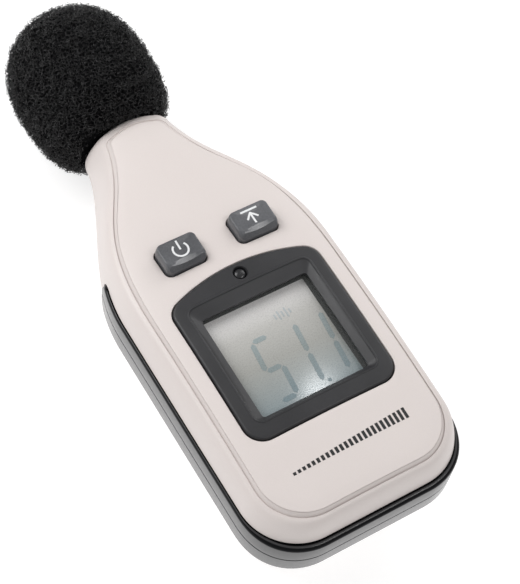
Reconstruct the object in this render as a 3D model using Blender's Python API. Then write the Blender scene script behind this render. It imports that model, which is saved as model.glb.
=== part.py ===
"""Hand-held sound level meter, modelled as the separate pieces it is assembled from.

The meter lies on its back. +Z comes out of the display, +Y runs towards the microphone, and the
origin is under the middle of the meter, on the surface it lies on. Every shape is drawn in bench
millimetres: x across, y from the lower end of the bumper and z from the flat back. on_frame()
turns them into metres in the part's frame.
"""

import math

import bmesh
import bpy
from mathutils import Matrix, Vector

MM = 0.001

# Overall sizes
LENGTH = 149.0
GAP = 0.3  # between pieces that touch on the real meter
PARTING_Z = 19.5

# Casing: the outline at the parting plane, at the panel's edge and at the edge of the back.
# (half width, lower end, lower corner radius, where the shoulder starts, its two guide points,
# neck half width, upper end, neck corner radius)
CASE = dict(half=26.7, low=1.3, corner=13.5, start=65.9, guide=(26.7, 83.4), neck_guide=(13.4, 98.1),
            neck=11.8, top=112.3, neck_corner=1.5)
RIM = dict(half=23.3, low=4.2, corner=11.4, start=60.2, guide=(23.3, 88.4), neck_guide=(12.3, 90.8),
           neck=8.1, top=110.1, neck_corner=2.4)
PANEL = dict(half=22.4, low=5.1, corner=10.7, start=58.0, guide=(22.4, 90.0), neck_guide=(12.0, 88.0),
             neck=7.0, top=109.2, neck_corner=1.8)
BACK = dict(half=19.2, low=14.0, corner=7.5, start=62.0, guide=(19.2, 79.5), neck_guide=(6.8, 99.0),
            neck=4.8, top=107.5, neck_corner=2.2)
CAVITY = dict(half=22.3, low=5.7, corner=9.5, start=62.0, guide=(22.3, 80.0), neck_guide=(8.9, 98.0),
              neck=7.4, top=107.1, neck_corner=1.0)
FLOOR = dict(half=18.5, low=14.0, corner=7.0, start=62.0, guide=(18.5, 78.0), neck_guide=(6.5, 97.0),
             neck=5.0, top=105.5, neck_corner=1.0)
SPINE = (22.0, 102.0)  # the middle line that the panel and the back close on

FACE_TOP = 35.2
FACE_CREST_Y = 42.0
FACE_RADIUS = 425.0
PANEL_DOME = (1.0, 1.4)  # crosswise fall of the face to the panel's edge, on the body and on the neck
PANEL_STEP = (1.3, 0.7)  # how far the panel stands above the rim round it
SIDE_SPREAD = (0.0, 0.02, 0.06, 0.14, 0.27, 0.45, 0.66, 0.85, 1.0)
SIDE_SQUARENESS = (2.25, 1.4)  # exponent of the side's curve, on the body and on the neck
BACK_SQUARENESS = 1.75
WALL = 2.0
HUMP = (86.5, 95.5)  # where the back steps in for the neck
NECK_BACK_Z = 8.6

# Bumper round the sides and the lower end
BUMPER_Z = (14.4, 25.2)
BUMPER_TOP = 78.2
BUMPER_DEPTH = 1.8
BUMPER_PROUD = (0.45, 1.3)  # on the sides, at the lower end
BUMPER_END_RADIUS = 3.0

# Display
BEZEL = dict(half=18.75, low=23.6, high=64.05, low_radius=4.5, high_radius=3.9, arch=47.0)
BEZEL_RIM = dict(half=15.4, low=27.7, high=58.3, low_radius=1.8, high_radius=1.8)
DISPLAY_OPENING = dict(half=13.5, low=28.85, high=55.2, low_radius=1.0, high_radius=1.0)
WINDOW_SEAT = dict(half=16.8, low=25.2, high=58.8, low_radius=1.2, high_radius=1.2)
BEZEL_PROUD = 0.45
BEZEL_FOOT_Z = 31.5
OPENING_Z = 34.1
SENSOR_Y = 61.4
SENSOR_RADIUS = 1.4
LCD_Z = (28.4, 31.2)
BOARD_Z = (24.8, 26.4)

# Buttons
BUTTON_X = 9.35
BUTTON_Y = 71.6
BUTTON_TOP_Z = 36.75
BUTTON_HOLE = (5.4, 3.9)
FLANGE_Z = (29.9, 30.7)
SWITCH_TOP_Z = 28.6
PLUNGER = 1.6
WELL = 1.4

# Battery bay
CELL_RADIUS = 5.25
CELL_Z = 8.5
CELL_X = (-11.5, 0.0, 11.5)
CELL_Y = (20.4, 64.9)
BAY_Y = (15.3, 66.0)
BAY_HALF = 17.4
BAY_WALL = 1.3
BAY_RIM_Z = 5.2
TRAY_Z = (14.2, 15.4)
DOOR_Z = 7.2
DOOR_Y = 67.95
DOOR_CORNER = 4.0
TONGUE_HALF = 1.6  # the door's tongues run between the cells

# Microphone and windscreen
MIC_RADIUS = 6.35
MIC_BORE = 5.5
MIC_Y = (100.0, 130.5)
FOAM_RADIUS = 17.55
FOAM_Y = (112.6, 149.0)
FOAM_WIDEST_Y = 130.0
FOAM_BORE_Y = 131.5
FOAM_SHIFT = (-1.6, 0.9)  # the ball sits a little off the tube, in x and z, and leans
FOAM_LEAN = (-0.017, 0.068)

# Fasteners: (x, y)
FOOT_SCREW = (16.5, 9.6)
SHOULDER_SCREW = (12.2, 83.0)
BOARD_SCREWS = ((18.6, 18.4), (7.5, 91.5))
SCREW_Z = (9.7, 26.0)  # under the heads and at the tips of the casing's screws

FINISHES = {
    "shell": ((0.80, 0.76, 0.72), 0.45, 0.0),
    "dark_grip": ((0.045, 0.046, 0.05), 0.5, 0.0),
    "bezel": ((0.05, 0.05, 0.055), 0.4, 0.0),
    "clear": ((0.80, 0.83, 0.82), 0.08, 0.0),
    "lens": ((0.01, 0.01, 0.012), 0.1, 0.0),
    "lcd": ((0.50, 0.54, 0.50), 0.2, 0.0),
    "white_plastic": ((0.75, 0.75, 0.73), 0.5, 0.0),
    "button": ((0.10, 0.105, 0.115), 0.25, 0.0),
    "black_plastic": ((0.02, 0.02, 0.022), 0.45, 0.0),
    "board": ((0.02, 0.16, 0.06), 0.4, 0.0),
    "steel": ((0.60, 0.60, 0.62), 0.3, 1.0),
    "brass": ((0.70, 0.52, 0.25), 0.35, 1.0),
    "rubber": ((0.03, 0.03, 0.03), 0.7, 0.0),
    "foam": ((0.012, 0.012, 0.013), 0.95, 0.0),
    "cell": ((0.10, 0.13, 0.35), 0.35, 0.0),
    "red_wire": ((0.50, 0.02, 0.02), 0.45, 0.0),
    "black_wire": ((0.02, 0.02, 0.02), 0.45, 0.0),
    "blue_part": ((0.05, 0.12, 0.45), 0.4, 0.0),
}


# Helpers


def on_frame(point):
    """A bench point in millimetres as metres in the part's frame."""
    x, y, z = point
    return Vector((x * MM, (y - LENGTH / 2) * MM, z * MM))


def make_material(name, finish):
    colour, roughness, metallic = FINISHES[finish]
    material = bpy.data.materials.new(name)
    material.use_nodes = True
    shader = material.node_tree.nodes["Principled BSDF"]
    shader.inputs["Base Color"].default_value = (*colour, 1.0)
    shader.inputs["Roughness"].default_value = roughness
    shader.inputs["Metallic"].default_value = metallic
    return material


def make_object(name, points, faces, finish=None):
    """A mesh object from bench points. Without a finish it is a cutter."""
    mesh = bpy.data.meshes.new(name)
    mesh.from_pydata([on_frame(point) for point in points], [], faces)
    shape = bmesh.new()
    shape.from_mesh(mesh)
    bmesh.ops.remove_doubles(shape, verts=shape.verts, dist=0.001 * MM)
    bmesh.ops.recalc_face_normals(shape, faces=shape.faces)
    shape.to_mesh(mesh)
    shape.free()
    mesh.shade_smooth()
    mesh.set_sharp_from_angle(angle=math.radians(35))
    piece = bpy.data.objects.new(name, mesh)
    bpy.context.scene.collection.objects.link(piece)
    if finish:
        mesh.materials.append(make_material(name, finish))
    else:
        piece.hide_render = True
        piece.display_type = "WIRE"
    return piece


def loft(name, rings, finish=None, caps=True, closed=False):
    """Rings of equally many points, skinned in order. closed joins the last ring to the first."""
    size = len(rings[0])
    points = [point for ring in rings for point in ring]
    faces = []
    last = len(rings) if closed else len(rings) - 1
    for r in range(last):
        here = r * size
        there = ((r + 1) % len(rings)) * size
        for i in range(size):
            j = (i + 1) % size
            faces.append((here + i, here + j, there + j, there + i))
    if caps and not closed:
        faces.append(tuple(range(size))[::-1])
        faces.append(tuple(range(len(points) - size, len(points))))
    return make_object(name, points, faces, finish)


def prism(name, outline, low, high, finish=None):
    """A flat outline of (x, y) points raised from low to high."""
    return loft(name, [[(x, y, low) for x, y in outline], [(x, y, high) for x, y in outline]], finish)


def block(name, x, y, z, finish=None):
    """A box given by its two limits along each axis."""
    outline = [(x[0], y[0]), (x[1], y[0]), (x[1], y[1]), (x[0], y[1])]
    return prism(name, outline, z[0], z[1], finish)


def circle_y(centre, radius, sides):
    """A ring of points round a line along Y."""
    x, y, z = centre
    angles = [2 * math.pi * i / sides for i in range(sides)]
    return [(x + radius * math.cos(a), y, z - radius * math.sin(a)) for a in angles]


def circle_z(centre, radius, sides):
    """A ring of points round a line along Z."""
    x, y, z = centre
    angles = [2 * math.pi * i / sides for i in range(sides)]
    return [(x + radius * math.cos(a), y + radius * math.sin(a), z) for a in angles]


def turned(name, profile, centre, axis, finish=None, sides=24, hollow=False):
    """A profile of (radius, distance along the axis) turned about a line through centre.

    A hollow piece's profile goes right round its wall and stays off the axis.
    """
    x, y, z = centre
    rings = []
    for radius, along in profile:
        if axis == "z":
            rings.append(circle_z((x, y, z + along), radius, sides))
        else:
            rings.append(circle_y((x, y + along, z), radius, sides))
    return loft(name, rings, finish, closed=hollow)


def wire(name, route, radius, finish):
    """A round wire along a route of bench points."""
    curve = bpy.data.curves.new(name, "CURVE")
    curve.dimensions = "3D"
    curve.bevel_depth = radius * MM
    curve.bevel_resolution = 1
    curve.use_fill_caps = True
    spline = curve.splines.new("POLY")
    spline.points.add(len(route) - 1)
    for knot, point in zip(spline.points, route):
        knot.co = (*on_frame(point), 1.0)
    curve.materials.append(make_material(name, finish))
    piece = bpy.data.objects.new(name, curve)
    bpy.context.scene.collection.objects.link(piece)
    return piece


def combine(piece, cutter, operation="DIFFERENCE"):
    modifier = piece.modifiers.new(cutter.name, "BOOLEAN")
    modifier.operation = operation
    modifier.solver = "EXACT"
    modifier.object = cutter


def move_origin(piece, point):
    """Put a moving piece's origin on its joint's axis."""
    origin = on_frame(point)
    piece.data.transform(Matrix.Translation(-origin))
    piece.location = origin


def mix(a, b, t):
    return a + (b - a) * t


def smooth(low, high, value):
    t = min(max((value - low) / (high - low), 0.0), 1.0)
    return t * t * (3 - 2 * t)


def arc(centre, radius, start, end, steps):
    """Points on an arc, angles in degrees, both ends included."""
    points = []
    for i in range(steps + 1):
        a = math.radians(mix(start, end, i / steps))
        points.append((centre[0] + radius * math.cos(a), centre[1] + radius * math.sin(a)))
    return points


def mirrored(half):
    """A closed outline from its right half, which starts and ends on the middle line."""
    return half + [(-x, y) for x, y in half[-2:0:-1]]


# Casing shapes


def blend(a, b, t):
    """The casing outline that lies t of the way from outline a to outline b."""
    mixed = {}
    for key, value in a.items():
        if isinstance(value, tuple):
            mixed[key] = tuple(mix(p, q, t) for p, q in zip(value, b[key]))
        else:
            mixed[key] = mix(value, b[key], t)
    return mixed


def case_outline(half, low, corner, start, guide, neck_guide, neck, top, neck_corner):
    points = [(0.0, low), ((half - corner) / 2, low)]
    points += arc((half - corner, low + corner), corner, -90, 0, 7)
    points += [(half, mix(low + corner, start, t)) for t in (0.35, 0.7, 0.99)]
    ends = ((half, start), guide, neck_guide, (neck, top - neck_corner))
    for i in range(1, 13):
        t = i / 12
        weights = ((1 - t) ** 3, 3 * t * (1 - t) ** 2, 3 * t * t * (1 - t), t**3)
        x = sum(w * end[0] for w, end in zip(weights, ends))
        y = sum(w * end[1] for w, end in zip(weights, ends))
        points.append((x, y))
    points += arc((neck - neck_corner, top - neck_corner), neck_corner, 0, 90, 4)[1:]
    points += [((neck - neck_corner) / 2, top), (0.0, top)]
    return mirrored(points)


def face_z(y):
    """Height of the display face on the middle line."""
    return FACE_TOP - (y - FACE_CREST_Y) ** 2 / (2 * FACE_RADIUS)


def panel_z(x, y):
    """Height of the display panel, which falls a little towards both sides."""
    half = mix(RIM["half"], RIM["neck"], smooth(66.0, 112.0, y))
    dome = mix(*PANEL_DOME, smooth(80.0, 104.0, y))
    return face_z(y) - dome * min(abs(x) / half, 1.1) ** 2


def rim_z(x, y):
    return panel_z(x, y) - mix(*PANEL_STEP, smooth(94.0, 107.0, y))


def back_z(y):
    return NECK_BACK_Z * smooth(*HUMP, y)


def fullness(spread, squareness):
    """Superellipse: how far up its wall a side has come when it has moved spread of the way in."""
    return (1 - (1 - spread) ** squareness) ** (1 / squareness)


def side_outline(inner, spread):
    """An outline between the parting outline and the inner one. The collar's end stays square."""
    outline = blend(CASE, inner, spread)
    outline["top"] = mix(CASE["top"], inner["top"], max(spread - 0.35, 0.0) ** 6 / 0.65**6)
    return case_outline(**outline)


def to_spine(outline, t):
    """An outline drawn in towards the spine: t = 1 lies on it."""
    low, high = SPINE
    return [(x * (1 - t), mix(y, min(max(y, low), high), t)) for x, y in outline]


def front_rings():
    """Inside of the panel, inner wall, parting rim, outer side, step and outside of the panel."""
    rings = []
    base = PARTING_Z + GAP / 2
    cavity = case_outline(**CAVITY)
    for t in (1.0, 0.7, 0.4, 0.12):
        rings.append([(x, y, panel_z(x, y) - WALL) for x, y in to_spine(cavity, t)])
    rings.append([(x, y, face_z(y) - 4.2) for x, y in cavity])
    rings.append([(x, y, base) for x, y in cavity])
    for spread in SIDE_SPREAD:
        ring = []
        for x, y in side_outline(RIM, spread):
            rise = fullness(spread, mix(*SIDE_SQUARENESS, smooth(85.0, 105.0, y)))
            ring.append((x, y, mix(base, rim_z(x, y), rise)))
        rings.append(ring)
    for inwards, rise in ((0.3, -0.12), (0.8, 0.4), (1.0, 1.0)):
        outline = case_outline(**blend(RIM, PANEL, inwards))
        rings.append([(x, y, mix(rim_z(x, y), panel_z(x, y), rise)) for x, y in outline])
    for t in (0.2, 0.45, 0.72, 1.0):
        rings.append([(x, y, panel_z(x, y)) for x, y in to_spine(case_outline(**PANEL), t)])
    return rings


def rear_rings():
    """Inside of the back, inner wall, parting rim, outer side and outside of the back."""
    rings = []
    base = PARTING_Z - GAP / 2
    floor = case_outline(**FLOOR)
    for t in (1.0, 0.6, 0.25):
        rings.append([(x, y, back_z(y) + WALL) for x, y in to_spine(floor, t)])
    for inwards, downwards in ((1.0, 1.0), (0.7, 0.92), (0.25, 0.76), (0.0, 0.53), (0.0, 0.0)):
        outline = case_outline(**blend(CAVITY, FLOOR, inwards))
        rings.append([(x, y, mix(base, back_z(y) + WALL, downwards)) for x, y in outline])
    for spread in SIDE_SPREAD:
        drop = fullness(spread, BACK_SQUARENESS)
        rings.append([(x, y, mix(base, back_z(y), drop)) for x, y in side_outline(BACK, spread)])
    for t in (0.3, 0.65, 1.0):
        rings.append([(x, y, back_z(y)) for x, y in to_spine(case_outline(**BACK), t)])
    return rings


def bumper_band(name, finish=None, clearance=0.0, outwards=0.0):
    """The band swept round the sides and the lower end, or with a clearance its channel."""
    outline = case_outline(**CASE)
    top = BUMPER_TOP + clearance
    right = [(x, y) for x, y in outline if x > 0 and y < top - BUMPER_END_RADIUS]
    after = next(point for point in outline if point[0] > 0 and point[1] >= top - 0.2)
    end_x = mix(right[-1][0], after[0], (top - right[-1][1]) / (after[1] - right[-1][1]))
    right += [(end_x, top - BUMPER_END_RADIUS * left) for left in (0.75, 0.35, 0.1, 0.0)]
    path = [(-x, y) for x, y in right[::-1]] + [(0.0, CASE["low"])] + right
    middle = sum(BUMPER_Z) / 2
    half = (BUMPER_Z[1] - BUMPER_Z[0]) / 2 + clearance
    rings = []
    for i, (x, y) in enumerate(path):
        before = Vector(path[max(i - 1, 0)])
        behind = Vector(path[min(i + 1, len(path) - 1)])
        tangent = (behind - before).normalized()
        normal = Vector((tangent.y, -tangent.x))
        proud = mix(BUMPER_PROUD[1], BUMPER_PROUD[0], smooth(2.0, 15.0, y)) + outwards
        left = max(BUMPER_END_RADIUS - (top - y), 0.0)
        cut = BUMPER_END_RADIUS - math.sqrt(max(BUMPER_END_RADIUS**2 - left**2, 0.0))
        tall = half - min(cut, BUMPER_END_RADIUS * 0.85)
        lip = 0.45
        section = [(-BUMPER_DEPTH - clearance, -tall), (proud - lip, -tall), (proud, -tall + lip)]
        if not clearance:
            section += [(proud, -0.25), (proud - 0.25, 0.0), (proud, 0.25)]
        section += [(proud, tall - lip), (proud - lip, tall), (-BUMPER_DEPTH - clearance, tall)]
        ring = []
        for out, up in section:
            ring.append((x + normal.x * out, y + normal.y * out, middle + up))
        rings.append(ring)
    return loft(name, rings, finish)


def door_zone(name, clearance):
    """The part of the back that the battery door takes, less or plus a clearance."""
    top = DOOR_Y + clearance
    deep = DOOR_Z + clearance
    profile = [(-5.0, -5.0), (top, -5.0)]
    profile += arc((top - DOOR_CORNER, deep - DOOR_CORNER), DOOR_CORNER, 0, 90, 6)
    profile += [(-5.0, deep)]
    rings = [[(x, y, z) for y, z in profile] for x in (-30.0, 30.0)]
    return loft(name, rings)


# Display and button shapes


def plate_outline(half, low, high, low_radius, high_radius, arch=2000.0, inset=0.0):
    """A rounded rectangle whose upper edge is an arc of radius arch."""
    half -= inset
    low += inset
    high -= inset
    arch -= inset
    low_radius = max(low_radius - inset, 0.4)
    high_radius = max(high_radius - inset, 0.4)
    reach = math.sqrt((arch - high_radius) ** 2 - (half - high_radius) ** 2)
    corner_y = high - arch + reach
    turn = math.degrees(math.atan2(reach, half - high_radius))
    points = [(0.0, low)]
    points += arc((half - low_radius, low + low_radius), low_radius, -90, 0, 5)
    points += arc((half - high_radius, corner_y), high_radius, 0, turn, 5)
    points += arc((0.0, high - arch), arch, turn, 90, 4)[1:]
    return mirrored(points)


def rounded_rect(centre, half_x, half_y, radius, steps=4):
    x, y = centre
    points = []
    for sx, sy, start in ((1, -1, -90), (1, 1, 0), (-1, 1, 90), (-1, -1, 180)):
        corner = (x + sx * (half_x - radius), y + sy * (half_y - radius))
        points += arc(corner, radius, start, start + 90, steps)
    return points


# Pieces


def make_front_shell():
    shell = loft("front_shell", front_rings(), "shell", caps=False)
    for side in (-1, 1):
        for word, (x, y) in (("foot", FOOT_SCREW), ("shoulder", SHOULDER_SCREW)):
            boss = turned(f"front_{word}_boss_{side}", [(3.0, 0.0), (3.0, 12.4)],
                          (side * x, y, PARTING_Z + GAP / 2), "z", sides=16)
            combine(shell, boss, "UNION")
        for i, (x, y) in enumerate(BOARD_SCREWS):
            boss = turned(f"board_boss_{i}_{side}", [(2.0, 0.0), (2.0, face_z(y) - 1.2 - 26.7)],
                          (side * x, y, BOARD_Z[1] + GAP), "z", sides=12)
            combine(shell, boss, "UNION")
            pilot = turned(f"board_pilot_{i}_{side}", [(0.95, -1.0), (0.95, 2.9)],
                           (side * x, y, BOARD_Z[1] + GAP), "z", sides=12)
            combine(shell, pilot)
    opening = plate_outline(**BEZEL, inset=-GAP)
    combine(shell, prism("bezel_opening", opening, 28.0, 40.0))
    for side, word in ((-1, "power"), (1, "max")):
        hole = rounded_rect((side * BUTTON_X, BUTTON_Y), *BUTTON_HOLE, 1.7)
        combine(shell, prism(f"{word}_button_hole", hole, 28.0, 40.0))
    return shell


def make_rear_shell():
    shell = loft("rear_shell", rear_rings(), "shell", caps=False)
    combine(shell, door_zone("door_space", GAP / 2))
    tray = block("tray", (-22.6, 22.6), (11.0, 69.0), TRAY_Z)
    combine(shell, tray, "UNION")
    outer_x = BAY_HALF + BAY_WALL
    outer_y = (BAY_Y[0] - BAY_WALL, BAY_Y[1] + BAY_WALL)
    bay = block("bay", (-outer_x, outer_x), outer_y, (BAY_RIM_Z, TRAY_Z[0] + 0.5))
    combine(bay, block("bay_space", (-BAY_HALF, BAY_HALF), BAY_Y, (0.0, TRAY_Z[0])))
    combine(shell, bay, "UNION")
    for side in (-1, 1):
        for word, (x, y), foot in (("foot", FOOT_SCREW, DOOR_Z + 0.6), ("shoulder", SHOULDER_SCREW, 1.0)):
            boss = turned(f"rear_{word}_boss_{side}", [(3.0, 0.0), (3.0, PARTING_Z - GAP / 2 - foot)],
                          (side * x, y, foot), "z", sides=16)
            combine(shell, boss, "UNION")
    return shell


def make_battery_door():
    door = loft("battery_door", rear_rings(), "shell", caps=False)
    combine(door, door_zone("door_limit", -GAP / 2), "INTERSECT")
    for side in (-1, 1):
        x = side * (CELL_X[2] / 2)
        across = (x - TONGUE_HALF, x + TONGUE_HALF)
        combine(door, block(f"tongue_foot_{side}", across, (62.0, 66.4), (1.0, 3.0)), "UNION")
        combine(door, block(f"tongue_{side}", across, (62.0, 71.5), (WALL + GAP, 3.7)), "UNION")
    for i in range(5):
        y = 54.0 + 2.0 * i
        width = 7.0 - 0.8 * i
        groove = block(f"grip_groove_{i}", (-width, width), (y, y + 0.9), (-1.0, 0.5))
        combine(door, groove)
    return door


def fit_case(front, rear):
    """The cuts that both halves of the casing share."""
    channel = bumper_band("bumper_channel", clearance=GAP, outwards=4.0)
    bore = turned("microphone_bore", [(MIC_RADIUS + GAP, -7.0), (MIC_RADIUS + GAP, 6.0)],
                  (0.0, CASE["top"], PARTING_Z), "y", sides=32)
    for shell in (front, rear):
        combine(shell, channel)
        combine(shell, bore)
    for side in (-1, 1):
        for word, (x, y) in (("foot", FOOT_SCREW), ("shoulder", SHOULDER_SCREW)):
            shaft = turned(f"{word}_screw_hole_{side}", [(1.4, 5.0), (1.4, SCREW_Z[1] + 1.0)],
                           (side * x, y, 0.0), "z", sides=12)
            head = turned(f"{word}_head_recess_{side}", [(2.3, -1.0), (2.3, SCREW_Z[0] + GAP)],
                          (side * x, y, 0.0), "z", sides=20)
            combine(rear, head)
            combine(rear, shaft)
            combine(front, shaft)


def make_screw(name, x, y, head_z, tip_z, head_radius, shaft_radius, up=1):
    """A pan-head screw with a cross recess. The shaft points along +Z."""
    height = head_radius * 0.7
    profile = [(head_radius * 0.7, -height), (head_radius, -height * 0.5), (head_radius, 0.0),
               (shaft_radius, 0.0), (shaft_radius, tip_z - head_z - 1.0), (shaft_radius * 0.4, tip_z - head_z)]
    screw = turned(name, profile, (x, y, head_z), "z", "steel", sides=12)
    for i, (wide, tall) in enumerate(((0.35, head_radius * 0.6), (head_radius * 0.6, 0.35))):
        slot = block(f"{name}_slot_{i}", (x - wide, x + wide), (y - tall, y + tall),
                     (head_z - height - 1.0, head_z - height * 0.45))
        combine(screw, slot)
    return screw


def make_screws():
    number = 0
    for side in (-1, 1):
        for x, y in (SHOULDER_SCREW, FOOT_SCREW):
            number += 1
            make_screw(f"case_screw_{number}", side * x, y, *SCREW_Z, 2.0, 1.1)
    number = 0
    for side in (-1, 1):
        for x, y in BOARD_SCREWS:
            number += 1
            make_screw(f"board_screw_{number}", side * x, y, BOARD_Z[0] - GAP, 29.3, 1.7, 0.65)


def make_bezel():
    def ring(outline, height):
        return [(x, y, height(x, y)) for x, y in outline]

    def proud(amount):
        return lambda x, y: panel_z(x, y) + amount

    def level(z):
        return lambda x, y: z

    outer = plate_outline(**BEZEL)
    rings = [
        ring(outer, level(BEZEL_FOOT_Z)),
        ring(outer, proud(0.15)),
        ring(plate_outline(**BEZEL, inset=0.35), proud(BEZEL_PROUD)),
        ring(plate_outline(**BEZEL_RIM, inset=-0.3), proud(BEZEL_PROUD)),
        ring(plate_outline(**BEZEL_RIM), proud(BEZEL_PROUD - 0.2)),
        ring(plate_outline(**DISPLAY_OPENING), level(OPENING_Z)),
        ring(plate_outline(**DISPLAY_OPENING), level(OPENING_Z - 0.4)),
        ring(plate_outline(**WINDOW_SEAT), level(OPENING_Z - 0.4)),
        ring(plate_outline(**WINDOW_SEAT), level(BEZEL_FOOT_Z)),
    ]
    bezel = loft("display_bezel", rings, "bezel", closed=True)
    hole = turned("sensor_hole", [(SENSOR_RADIUS + GAP, 0.0), (SENSOR_RADIUS + GAP, 20.0)],
                  (0.0, SENSOR_Y, 20.0), "z", sides=20)
    combine(bezel, hole)
    return hole


def make_display(sensor_hole):
    sheet_top = OPENING_Z - 0.4 - GAP
    prism("display_window", plate_outline(**WINDOW_SEAT, inset=GAP), sheet_top - 1.1, sheet_top, "clear")
    lcd = block("lcd_cell", (-17.5, 17.5), (23.5, 59.0), LCD_Z, "lcd")
    ledge = block("lcd_ledge", (-18.0, 18.0), (23.0, 25.9), (LCD_Z[0] + 1.4, LCD_Z[1] + 1.0))
    combine(lcd, ledge)
    block("lcd_reflector", (-16.5, 16.5), (28.0, 55.5), (27.2, 28.0), "white_plastic")
    for word, y in (("lower", 24.6), ("upper", 56.7)):
        block(f"zebra_strip_{word}", (-16.0, 16.0), (y, y + 2.0),
              (BOARD_Z[1] + GAP, LCD_Z[0] - GAP), "rubber")
    outer = rounded_rect((0.0, 42.6), 20.0, 21.4, 1.0)
    holder = prism("lcd_holder", outer, BOARD_Z[1] + GAP, 30.9, "white_plastic")
    combine(holder, block("holder_space", (-17.8, 17.8), (23.2, 59.3), (20.0, 40.0)))
    combine(holder, sensor_hole)
    sensor = [(SENSOR_RADIUS, 0.0), (SENSOR_RADIUS, 7.2)]
    for angle in (30, 60, 82):
        a = math.radians(angle)
        sensor.append((SENSOR_RADIUS * math.cos(a), 7.2 + 0.9 * math.sin(a)))
    turned("light_sensor", sensor, (0.0, SENSOR_Y, BOARD_Z[1] + GAP), "z", "lens", sides=20)


def make_button(name, x):
    """A key cap with its flange under the casing."""
    layers = (
        # half width, half length, shift along the meter, corner radius, height
        (5.9, 4.4, 0.0, 1.5, FLANGE_Z[0]),
        (5.9, 4.4, 0.0, 1.5, FLANGE_Z[1]),
        (5.1, 3.6, 0.0, 1.4, FLANGE_Z[1]),
        (5.1, 3.6, 0.0, 1.4, 34.8),
        (5.05, 3.35, 0.2, 1.4, 35.6),
        (4.9, 3.0, 0.5, 1.3, 36.25),
        (4.7, 2.65, 0.75, 1.2, 36.6),
        (4.5, 2.45, 0.85, 1.1, BUTTON_TOP_Z),
    )
    rings = []
    for half_x, half_y, shift, radius, z in layers:
        outline = rounded_rect((x, BUTTON_Y + shift), half_x, half_y, radius)
        rings.append([(px, py, z) for px, py in outline])
    button = loft(name, rings, "button")
    move_origin(button, (x, BUTTON_Y, BUTTON_TOP_Z))


def make_switch(word, x):
    centre = (x, BUTTON_Y)
    body = block(f"{word}_switch_body", (x - 3.0, x + 3.0), (BUTTON_Y - 3.0, BUTTON_Y + 3.0),
                 (BOARD_Z[1] + GAP, SWITCH_TOP_Z), "black_plastic")
    well = turned(f"{word}_switch_well", [(2.0, 0.0), (2.0, 4.0)], (*centre, SWITCH_TOP_Z - WELL), "z", sides=16)
    combine(body, well)
    plunger = turned(f"{word}_switch_plunger", [(1.7, 0.0), (1.7, PLUNGER)],
                     (*centre, FLANGE_Z[0] - GAP - PLUNGER), "z", "white_plastic", sides=16)
    move_origin(plunger, (*centre, FLANGE_Z[0] - GAP))


def make_board():
    right = [(0.0, 15.2), (21.0, 15.2), (21.4, 18.0), (21.4, 65.0), (16.0, 77.0), (8.8, 79.6), (8.8, 87.0),
             (10.0, 88.5), (10.0, 97.0), (0.0, 97.0)]
    board = prism("main_board", mirrored(right), *BOARD_Z, "board")
    for side in (-1, 1):
        for i, (x, y) in enumerate(BOARD_SCREWS):
            hole = turned(f"board_hole_{i}_{side}", [(1.0, 0.0), (1.0, 6.0)],
                          (side * x, y, BOARD_Z[0] - 2.0), "z", sides=12)
            combine(board, hole)
    under = BOARD_Z[0] - GAP
    block("controller_chip", (-5.0, 5.0), (36.0, 46.0), (under - 1.6, under), "black_plastic")
    block("amplifier_chip", (-2.5, 2.5), (78.0, 83.0), (under - 1.5, under), "black_plastic")
    block("crystal", (8.5, 12.0), (35.0, 46.0), (under - 3.2, under), "steel")
    turned("supply_capacitor", [(2.5, 0.0), (2.5, 5.4)], (-12.5, 57.0, under - 5.4), "z", "blue_part", sides=20)
    trimmer = block("gain_trimmer", (3.4, 10.0), (72.0, 78.6), (under - 4.2, under), "blue_part")
    screw = turned("trimmer_slot", [(1.4, 0.0), (1.4, 2.0)], (6.7, 75.3, under - 5.4), "z", sides=14)
    combine(trimmer, screw)


def make_battery_bay():
    for number, x in enumerate(CELL_X, 1):
        flip = number == 2
        low, high = CELL_Y
        if flip:
            low, high = BAY_Y[0] + BAY_Y[1] - high, BAY_Y[0] + BAY_Y[1] - low
        body = CELL_RADIUS
        profile = [(body - 0.4, 0.0), (body, 0.4), (body, 42.9), (body - 0.5, 43.3), (1.9, 43.3), (1.9, 44.5)]
        start = high if flip else low
        heading = -1 if flip else 1
        turned(f"battery_cell_{number}", [(r, heading * along) for r, along in profile],
               (x, start, CELL_Z), "y", "cell")
        plate_y = BAY_Y[0] + GAP if flip else BAY_Y[1] - GAP - 0.5
        block(f"contact_plate_{number}", (x - 4.0, x + 4.0), (plate_y, plate_y + 0.5),
              (CELL_Z - 2.9, CELL_Z + 4.5), "steel")
        foot = BAY_Y[1] - 0.7 if flip else BAY_Y[0] + 0.7
        reach = abs(start - foot) - 0.7
        turns = 3.0
        steps = 36
        route = []
        for i in range(steps + 1):
            t = i / steps
            a = 2 * math.pi * turns * t
            radius = mix(3.6, 1.9, t)
            route.append((x + radius * math.cos(a), foot + heading * reach * t, CELL_Z + radius * math.sin(a)))
        wire(f"contact_spring_{number}", route, 0.35, "steel")


def make_leads():
    for word, x in (("positive", 11.5), ("negative", -11.5)):
        route = leads_route(((x, 67.7, 9.5), (x, 71.6, 10.5), (x, 73.0, 17.0), (x, 71.0, 24.4)))
        wire(f"battery_lead_{word}", route, 0.6, "red_wire" if x > 0 else "black_wire")
    for word, x in (("signal", 1.5), ("ground", -1.5)):
        route = leads_route(((x, 121.6, PARTING_Z), (x, 101.0, PARTING_Z), (x, 93.0, 19.0), (x, 93.0, 24.4)))
        wire(f"microphone_lead_{word}", route, 0.5, "red_wire" if x > 0 else "black_wire")


def leads_route(guides, steps=18):
    """A smooth route led by four guide points."""
    route = []
    for i in range(steps + 1):
        t = i / steps
        weights = ((1 - t) ** 3, 3 * t * (1 - t) ** 2, 3 * t * t * (1 - t), t**3)
        route.append(tuple(sum(w * guide[k] for w, guide in zip(weights, guides)) for k in range(3)))
    return route


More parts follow.
